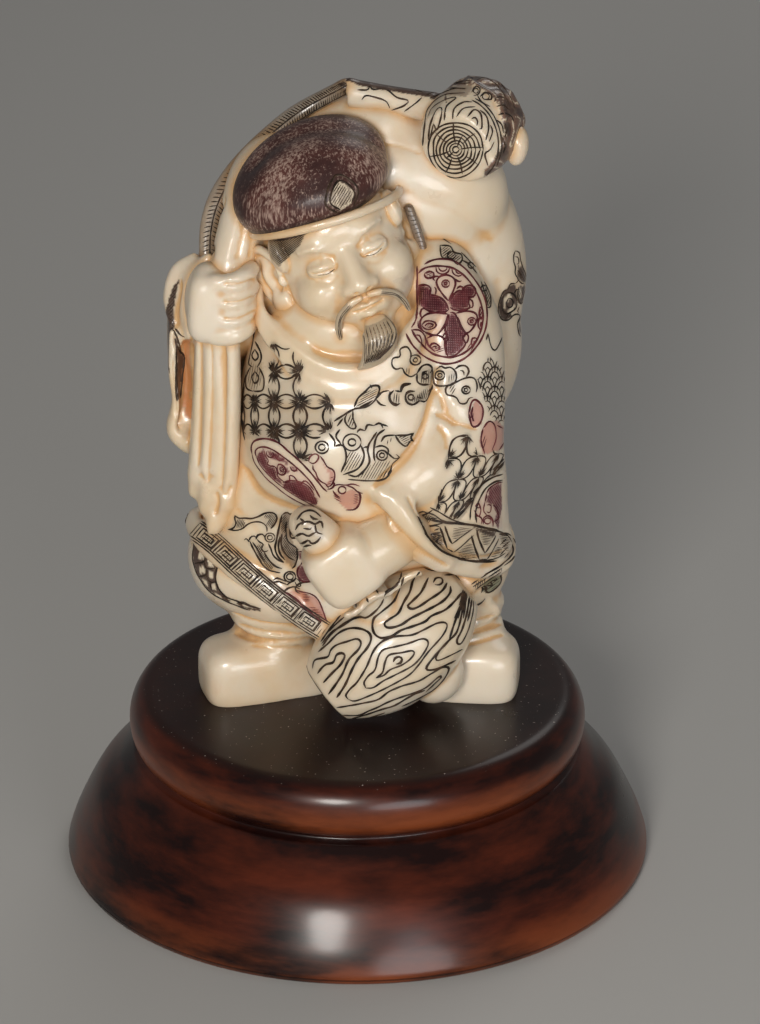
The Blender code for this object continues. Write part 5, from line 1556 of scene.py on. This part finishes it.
def taper(count):
    t = np.linspace(0, 1, count)
    return np.clip(np.minimum(t, 1 - t) * count / 2.6 + 0.35, 0, 1) * (1 + 0.14 * np.sin(t * count * 0.9))


def inkMesh(name, lines):
    # Each line is a thin thread of ink that lies mostly below the skin
    curve = bpy.data.curves.new(name, "CURVE")
    curve.dimensions = "3D"
    curve.bevel_depth = 1
    curve.bevel_resolution = 0
    curve.use_fill_caps = True
    for points, normals, width in lines:
        radii = width / 2 * taper(len(points))
        spots = points - normals * (inkLay["sunk"] * radii)[:, None]
        spline = curve.splines.new("POLY")
        spline.points.add(len(points) - 1)
        rows = np.column_stack([spots, np.ones(len(points))]).astype(np.float32)
        spline.points.foreach_set("co", rows.ravel())
        spline.points.foreach_set("radius", radii.astype(np.float32))
    item = bpy.data.objects.new(name, curve)
    bpy.context.scene.collection.objects.link(item)
    mesh = bpy.data.meshes.new_from_object(item.evaluated_get(bpy.context.evaluated_depsgraph_get()))
    bpy.data.objects.remove(item)
    return mesh


# Each stain's colour, and how strongly it covers the ivory
stainColours = {"maroon": (0.13, 0.022, 0.034, 0.9), "rose": (0.44, 0.10, 0.075, 0.6),
                "blush": (0.62, 0.40, 0.32, 0.35), "dust": (0.30, 0.235, 0.16, 0.34),
                "umber": (0.05, 0.02, 0.013, 0.97), "chestnut": (0.12, 0.05, 0.03, 0.93),
                "moss": (0.09, 0.12, 0.05, 0.8), "hair": (0.17, 0.12, 0.075, 0.7),
                # The orange one for the sleeve's opening is painted shade
                "rust": (0.52, 0.17, 0.05, 0.72), "bone": (0.72, 0.6, 0.44, 0.98),
                "bark": (0.15, 0.085, 0.055, 0.62)}
# A stain fades where the skin turns away from view; a wash spreads from the lines, up to a strength
washLooks = {"edge": 0.04, "edgeSoftness": 0.14, "reach": 0.7, "strength": 0.2, "most": 0.6}
hairLooks = {"beardBelow": -8.9, "beardHalf": 4.7, "beardStrength": 0.5, "moustacheFrom": 2.4,
             "moustacheWobble": 0.3, "moustacheStrength": 0.45}
allStained = {"sackSeam": 0.6, "ribbon": 0.8}
washColours = {"ink": (0.10, 0.075, 0.052), "red": (0.2, 0.035, 0.045)}


def washOver(stain, colour, strength):
    # A thin wash over what is there already
    left = stain[:, 3] * (1 - strength)
    whole = left + strength
    both = stain[:, :3] * left[:, None] + np.array(colour) * strength[:, None]
    stain[:, :3] = both / np.maximum(whole, 1e-6)[:, None]
    stain[:, 3] = whole


def washBeside(points, ink):
    # How much ink has settled round each point
    reach = washLooks["reach"]
    spots = np.concatenate([line for line, _, _ in runs[ink]])
    widths = np.concatenate([np.full(len(line), width) for line, _, width in runs[ink]])
    near = KDTree(len(spots))
    for k, spot in enumerate(spots.tolist()):
        near.insert(spot, k)
    near.balance()
    found = np.zeros(len(points))
    for k, point in enumerate(points.tolist()):
        found[k] = sum(widths[index] * (1 - distance / reach)
                       for _, index, distance in near.find_range(point, reach))
    return found


def stainHair(stain, points):
    turned = np.array(headMatrix.inverted())
    local = points @ turned[:3, :3].T + turned[:3, 3]
    beardArea = (local[:, 2] < hairLooks["beardBelow"]) & (abs(local[:, 0]) < hairLooks["beardHalf"])
    stain[beardArea] = (*stainColours["hair"][:3], hairLooks["beardStrength"])
    edge = hairLooks["moustacheFrom"] + hairLooks["moustacheWobble"] * np.sin(5 * local[:, 2])
    stain[abs(local[:, 0]) > edge] = (*stainColours["hair"][:3], hairLooks["moustacheStrength"])


def stainsOf(name):
    # The stained areas of a piece, where a stain is drawn or a patch has one below its hatching
    for key, rows in drawings.items():
        piece, sheet, kind, colour = key.split()
        for row in rows.split(", ") if piece == name else ():
            if kind == "stain":
                yield colour, spotsOf(sheet, row)
            elif kind == "patch":
                yield row.split()[0], spotsOf(sheet, row.split(" : ")[1])


def addStains():
    for name, mesh in forms.items():
        points, normals = pointsOf(mesh), normalsOf(mesh)
        stain = np.zeros((len(points), 4))
        marks = marksOf(points)
        sight = np.array(viewpoint) - points
        facing = (sight * normals).sum(axis=1) / np.linalg.norm(sight, axis=1)
        for colour, polygon in sorted(stainsOf(name), key=lambda found: stainColours[found[0]][3]):
            stain[(facing > 0) & within(polygon, marks)] = stainColours[colour]
        stain[:, 3] *= np.clip((facing - washLooks["edge"]) / washLooks["edgeSoftness"], 0, 1)
        if name == "upperMallet":
            covered, swirl = brocade(points)
            top = (points[:, 0] < cover["topDarkTo"]) & (normals @ (0, -0.1, 0.99) > cover["topDarkLean"])
            stain[top] = stainColours["umber"]
            stain[covered] = stainColours["chestnut"]
            stain[covered & (swirl < cover["darkBelow"])] = stainColours["umber"]
            stain[covered & (abs(swirl - cover["boneAt"]) < cover["boneHalf"])] = stainColours["bone"]
        if name in allStained:
            stain[:] = stainColours["umber"]
            stain[:, 3] *= allStained[name]
        if name == "beard":
            stainHair(stain, points)
        for ink, colour in washColours.items():
            settled = washLooks["strength"] * washBeside(points, ink)
            washOver(stain, colour, np.clip(settled, 0, washLooks["most"]))
        attribute = mesh.attributes.new("stain", "FLOAT_COLOR", "POINT")
        attribute.data.foreach_set("color", stain.astype(np.float32).ravel())


engrave()
addStains()
print("lines engraved:", {ink: len(lines) for ink, lines in runs.items()})


# Finishes


def newGroup(name, inputs, outputs):
    group = bpy.data.node_groups.new(name, "ShaderNodeTree")
    for label, kind in inputs:
        group.interface.new_socket(label, in_out="INPUT", socket_type=kind)
    for label, kind in outputs:
        group.interface.new_socket(label, in_out="OUTPUT", socket_type=kind)
    start = group.nodes.new("NodeGroupInput")
    end = group.nodes.new("NodeGroupOutput")
    return group, start, end


def node(tree, kind, **settings):
    made = tree.nodes.new(kind)
    setInputs(made, settings.pop("inputs", {}))
    for key, value in settings.items():
        setattr(made, key, value)
    return made


def placeOf(tree):
    return node(tree, "ShaderNodeTexCoord").outputs["Object"]


def painted(tree, name):
    # What was worked out for each point of the mesh
    return node(tree, "ShaderNodeAttribute", attribute_name=name).outputs


def setInputs(shader, values):
    for socket, value in values.items():
        shader.inputs[socket].default_value = value


def noise(tree, vector, scale, detail=4, roughness=0.55):
    made = node(tree, "ShaderNodeTexNoise", inputs={"Scale": scale, "Detail": detail, "Roughness": roughness})
    tree.links.new(vector, made.inputs["Vector"])
    return made.outputs["Fac"]


def spread(tree, value, low, high, to=(0, 1)):
    made = node(tree, "ShaderNodeMapRange",
                inputs={"From Min": low, "From Max": high, "To Min": to[0], "To Max": to[1]})
    tree.links.new(value, made.inputs["Value"])
    return made.outputs["Result"]


def sums(tree, kind, a, b):
    made = node(tree, "ShaderNodeMath", operation=kind)
    for socket, value in zip(made.inputs, (a, b)):
        if isinstance(value, (int, float)):
            socket.default_value = value
        else:
            tree.links.new(value, socket)
    return made.outputs["Value"]


def mixed(tree, factor, a, b):
    made = node(tree, "ShaderNodeMix", data_type="RGBA")
    for socket, value in zip((made.inputs[0], made.inputs[6], made.inputs[7]), (factor, a, b)):
        if isinstance(value, (int, float, tuple)):
            socket.default_value = value
        else:
            tree.links.new(value, socket)
    return made.outputs[2]


# warm tints random blotches and is also painted shade in the hollows; deep is painted shade in the deepest
# hollows
ivoryLooks = {
    "pale": (0.725, 0.63, 0.50, 1), "cream": (0.67, 0.53, 0.355, 1), "warm": (0.64, 0.39, 0.18, 1),
    "deep": (0.34, 0.16, 0.06, 1), "roughness": (0.27, 0.4), "bump": (0.12, 0.0001),
    "shader": {"Subsurface Weight": 0.12, "Subsurface Radius": (1.0, 0.5, 0.25), "Subsurface Scale": 0.0012,
               "Coat Weight": 0.35, "Coat Roughness": 0.12, "IOR": 1.54}}


def ivoryToneGroup():
    group, start, end = newGroup("ivoryTone", [("HollowShade", "NodeSocketFloat")],
                                 [("Colour", "NodeSocketColor"), ("Roughness", "NodeSocketFloat"),
                                  ("Height", "NodeSocketFloat")])
    coords = placeOf(group)
    broad = noise(group, coords, 55, 3)
    patchy = noise(group, coords, 260, 4)
    grain = noise(group, coords, 2600, 2)
    tone = mixed(group, spread(group, broad, 0.38, 0.66), ivoryLooks["pale"], ivoryLooks["cream"])
    blotches = spread(group, noise(group, coords, 95, 5, 0.6), 0.5, 0.72, (0, 0.32))
    tone = mixed(group, blotches, tone, ivoryLooks["warm"])
    # Painted shade: the hollows are painted warm, and the deepest ones dark brown
    hollowShade = sums(group, "MULTIPLY", start.outputs["HollowShade"], spread(group, patchy, 0.25, 0.7, (0.75, 1.2)))
    tone = mixed(group, spread(group, hollowShade, 0.05, 0.72), tone, ivoryLooks["warm"])
    tone = mixed(group, spread(group, hollowShade, 0.9, 1.5), tone, ivoryLooks["deep"])
    group.links.new(tone, end.inputs["Colour"])
    group.links.new(spread(group, patchy, 0.3, 0.7, ivoryLooks["roughness"]), end.inputs["Roughness"])
    group.links.new(grain, end.inputs["Height"])
    return group


ivoryTone = ivoryToneGroup()


def newMaterial(name):
    material = bpy.data.materials.new(name)
    material.use_nodes = True
    tree = material.node_tree
    return material, tree, tree.nodes["Principled BSDF"]


def addBump(tree, height, shader, strength, distance):
    bump = node(tree, "ShaderNodeBump", inputs={"Strength": strength, "Distance": distance})
    tree.links.new(height, bump.inputs["Height"])
    tree.links.new(bump.outputs["Normal"], shader.inputs["Normal"])


def polishedIvory():
    material, tree, shader = newMaterial("polished ivory")
    tone = node(tree, "ShaderNodeGroup", node_tree=ivoryTone)
    # The hollow shade attribute paints shade into the carving and where forms meet
    tree.links.new(painted(tree, "hollowShade")["Fac"], tone.inputs["HollowShade"])
    stain = painted(tree, "stain")
    coords = placeOf(tree)
    worn = spread(tree, noise(tree, coords, 900, 5, 0.65), 0.28, 0.5, (0.86, 1))
    stained = mixed(tree, sums(tree, "MULTIPLY", stain["Alpha"], worn), tone.outputs["Colour"],
                    stain["Color"])
    tree.links.new(stained, shader.inputs["Base Color"])
    tree.links.new(tone.outputs["Roughness"], shader.inputs["Roughness"])
    addBump(tree, tone.outputs["Height"], shader, *ivoryLooks["bump"])
    setInputs(shader, ivoryLooks["shader"])
    return material


ivory = polishedIvory()


inkLooks = {
    "ink": {"name": "brown black ink", "dark": (0.014, 0.009, 0.006, 1), "light": (0.09, 0.05, 0.028, 1)},
    "red": {"name": "wine red ink", "dark": (0.06, 0.007, 0.011, 1), "light": (0.18, 0.04, 0.04, 1)},
    "shader": {"Roughness": 0.5, "Specular IOR Level": 0.25}}


def engravedInk(looks):
    material, tree, shader = newMaterial(looks["name"])
    coords = placeOf(tree)
    faded = spread(tree, noise(tree, coords, 420, 5, 0.7), 0.42, 0.72)
    tree.links.new(mixed(tree, faded, looks["dark"], looks["light"]), shader.inputs["Base Color"])
    setInputs(shader, inkLooks["shader"])
    return material


# The hollow shade colour is painted shade in the cap's hollows
capLooks = {"dark": (0.038, 0.013, 0.011, 1), "red": (0.105, 0.034, 0.026, 1),
            "speckle": (0.44, 0.31, 0.25, 1), "hollowShade": (0.014, 0.007, 0.007, 1), "speckleShare": 0.88,
            "speckleScale": 2700, "roughness": 0.4, "bump": (0.3, 0.0002)}


def speckledCap():
    material, tree, shader = newMaterial("speckled wine brown ivory")
    coords = placeOf(tree)
    broad = noise(tree, coords, 150, 3)
    # Short strokes that cross each other
    combed = [node(tree, "ShaderNodeMapping", inputs={"Rotation": turn, "Scale": (1, 1, 0.2)})
              for turn in ((0.3, 0.35, 0), (-0.5, -0.75, 0.4))]
    for part in combed:
        tree.links.new(coords, part.inputs["Vector"])
    hairs = sums(tree, "MAXIMUM", *(noise(tree, part.outputs["Vector"], capLooks["speckleScale"], 2, 0.6)
                                  for part in combed))
    tone = mixed(tree, spread(tree, broad, 0.3, 0.7), capLooks["dark"], capLooks["red"])
    marks = spread(tree, sums(tree, "ADD", hairs, sums(tree, "MULTIPLY", broad, 0.45)), 0.76, 0.95)
    tone = mixed(tree, sums(tree, "MULTIPLY", marks, capLooks["speckleShare"]), tone, capLooks["speckle"])
    # Painted shade: the cap's hollows are painted nearly black
    tone = mixed(tree, spread(tree, painted(tree, "hollowShade")["Fac"], 0.1, 0.7), tone, capLooks["hollowShade"])
    stain = painted(tree, "stain")
    speckle = spread(tree, hairs, 0.5, 0.6, (0.55, 1))
    tone = mixed(tree, sums(tree, "MULTIPLY", stain["Alpha"], speckle), tone, stain["Color"])
    tree.links.new(tone, shader.inputs["Base Color"])
    setInputs(shader, {"Roughness": capLooks["roughness"]})
    addBump(tree, hairs, shader, *capLooks["bump"])
    return material


# Heights are in metres above the floor, from where a tint starts to where it is full
lacquerLooks = {
    "dark": (0.009, 0.002, 0.0015, 1), "red": (0.12, 0.02, 0.006, 1), "thin": (0.21, 0.05, 0.013, 1),
    "topColour": (0.014, 0.007, 0.006, 1), "dust": (0.42, 0.36, 0.32, 1), "thinShare": 0.75, "topShare": 0.8,
    "foot": (0.006, 0.0005), "rimLow": (0.0185, 0.0205), "rimHigh": (0.0245, 0.0215),
    "top": (0.0262, 0.0268), "roughness": (0.26, 0.36), "coat": (0.24, 0.04),
    "shader": {"Specular IOR Level": 0.22, "Coat Roughness": 0.16}}


def lacquer():
    looks = lacquerLooks
    material, tree, shader = newMaterial("red brown lacquer")
    coords = placeOf(tree)
    split = node(tree, "ShaderNodeSeparateXYZ")
    tree.links.new(coords, split.inputs[0])
    streaks = node(tree, "ShaderNodeMapping", inputs={"Scale": (1, 1, 4)})
    tree.links.new(coords, streaks.inputs["Vector"])
    cloudy = noise(tree, streaks.outputs["Vector"], 38, 5, 0.6)
    tone = mixed(tree, spread(tree, cloudy, 0.42, 0.76), looks["dark"], looks["red"])
    # The lacquer is thinner, and so brighter, at the foot's edge and on the rounded edge of the plate
    height = split.outputs["Z"]
    foot = spread(tree, height, *looks["foot"])
    rim = sums(tree, "MULTIPLY", *(spread(tree, height, *looks[side]) for side in ("rimLow", "rimHigh")))
    worn = sums(tree, "MULTIPLY", sums(tree, "MAXIMUM", foot, rim), spread(tree, cloudy, 0.35, 0.62))
    tone = mixed(tree, sums(tree, "MULTIPLY", worn, looks["thinShare"]), tone, looks["thin"])
    top = spread(tree, height, *looks["top"])
    tone = mixed(tree, sums(tree, "MULTIPLY", top, looks["topShare"]), tone, looks["topColour"])
    dust = spread(tree, noise(tree, coords, 2600, 1, 0.3), 0.76, 0.78)
    tone = mixed(tree, sums(tree, "MULTIPLY", dust, top), tone, looks["dust"])
    tree.links.new(tone, shader.inputs["Base Color"])
    tree.links.new(spread(tree, cloudy, 0.3, 0.7, looks["roughness"]), shader.inputs["Roughness"])
    tree.links.new(spread(tree, top, 0, 1, looks["coat"]), shader.inputs["Coat Weight"])
    setInputs(shader, looks["shader"])
    return material


# Every piece takes its place in the frame


def cutFlat(mesh, height):
    # The underside is sawn flat where it stands on the plate
    cut = bmesh.new()
    cut.from_mesh(mesh)
    made = bmesh.ops.bisect_plane(cut, geom=cut.verts[:] + cut.edges[:] + cut.faces[:], dist=1e-5,
                                  plane_co=(0, 0, height), plane_no=(0, 0, 1), clear_inner=True)
    rim = [item for item in made["geom_cut"] if isinstance(item, bmesh.types.BMEdge)]
    bmesh.ops.edgeloop_fill(cut, edges=rim)
    cut.to_mesh(mesh)
    cut.free()


def addPiece(name, mesh, material, replaced, sized=False):
    if not sized:
        mesh.transform(toWorld)
    mesh.shade_smooth()
    mesh.name = name
    mesh.materials.append(material)
    item = bpy.data.objects.new(name, mesh)
    bpy.context.scene.collection.objects.link(item)
    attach(item, "root")
    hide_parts(replaced)


cutFlat(forms["legs"], -place["sunk"])
finishes = {"cap": speckledCap()}
for name, mesh in forms.items():
    addPiece(name, mesh, finishes.get(name, ivory), "ivory_figure")
for name, ink in (("inkLines", "ink"), ("redLines", "red")):
    addPiece(name, inkMesh(name, runs[ink]), engravedInk(inkLooks[ink]), "ivory_figure")
addPiece("turnedStand", turnedStand(), lacquer(), "wood_stand", sized=True)
print("pieces placed")
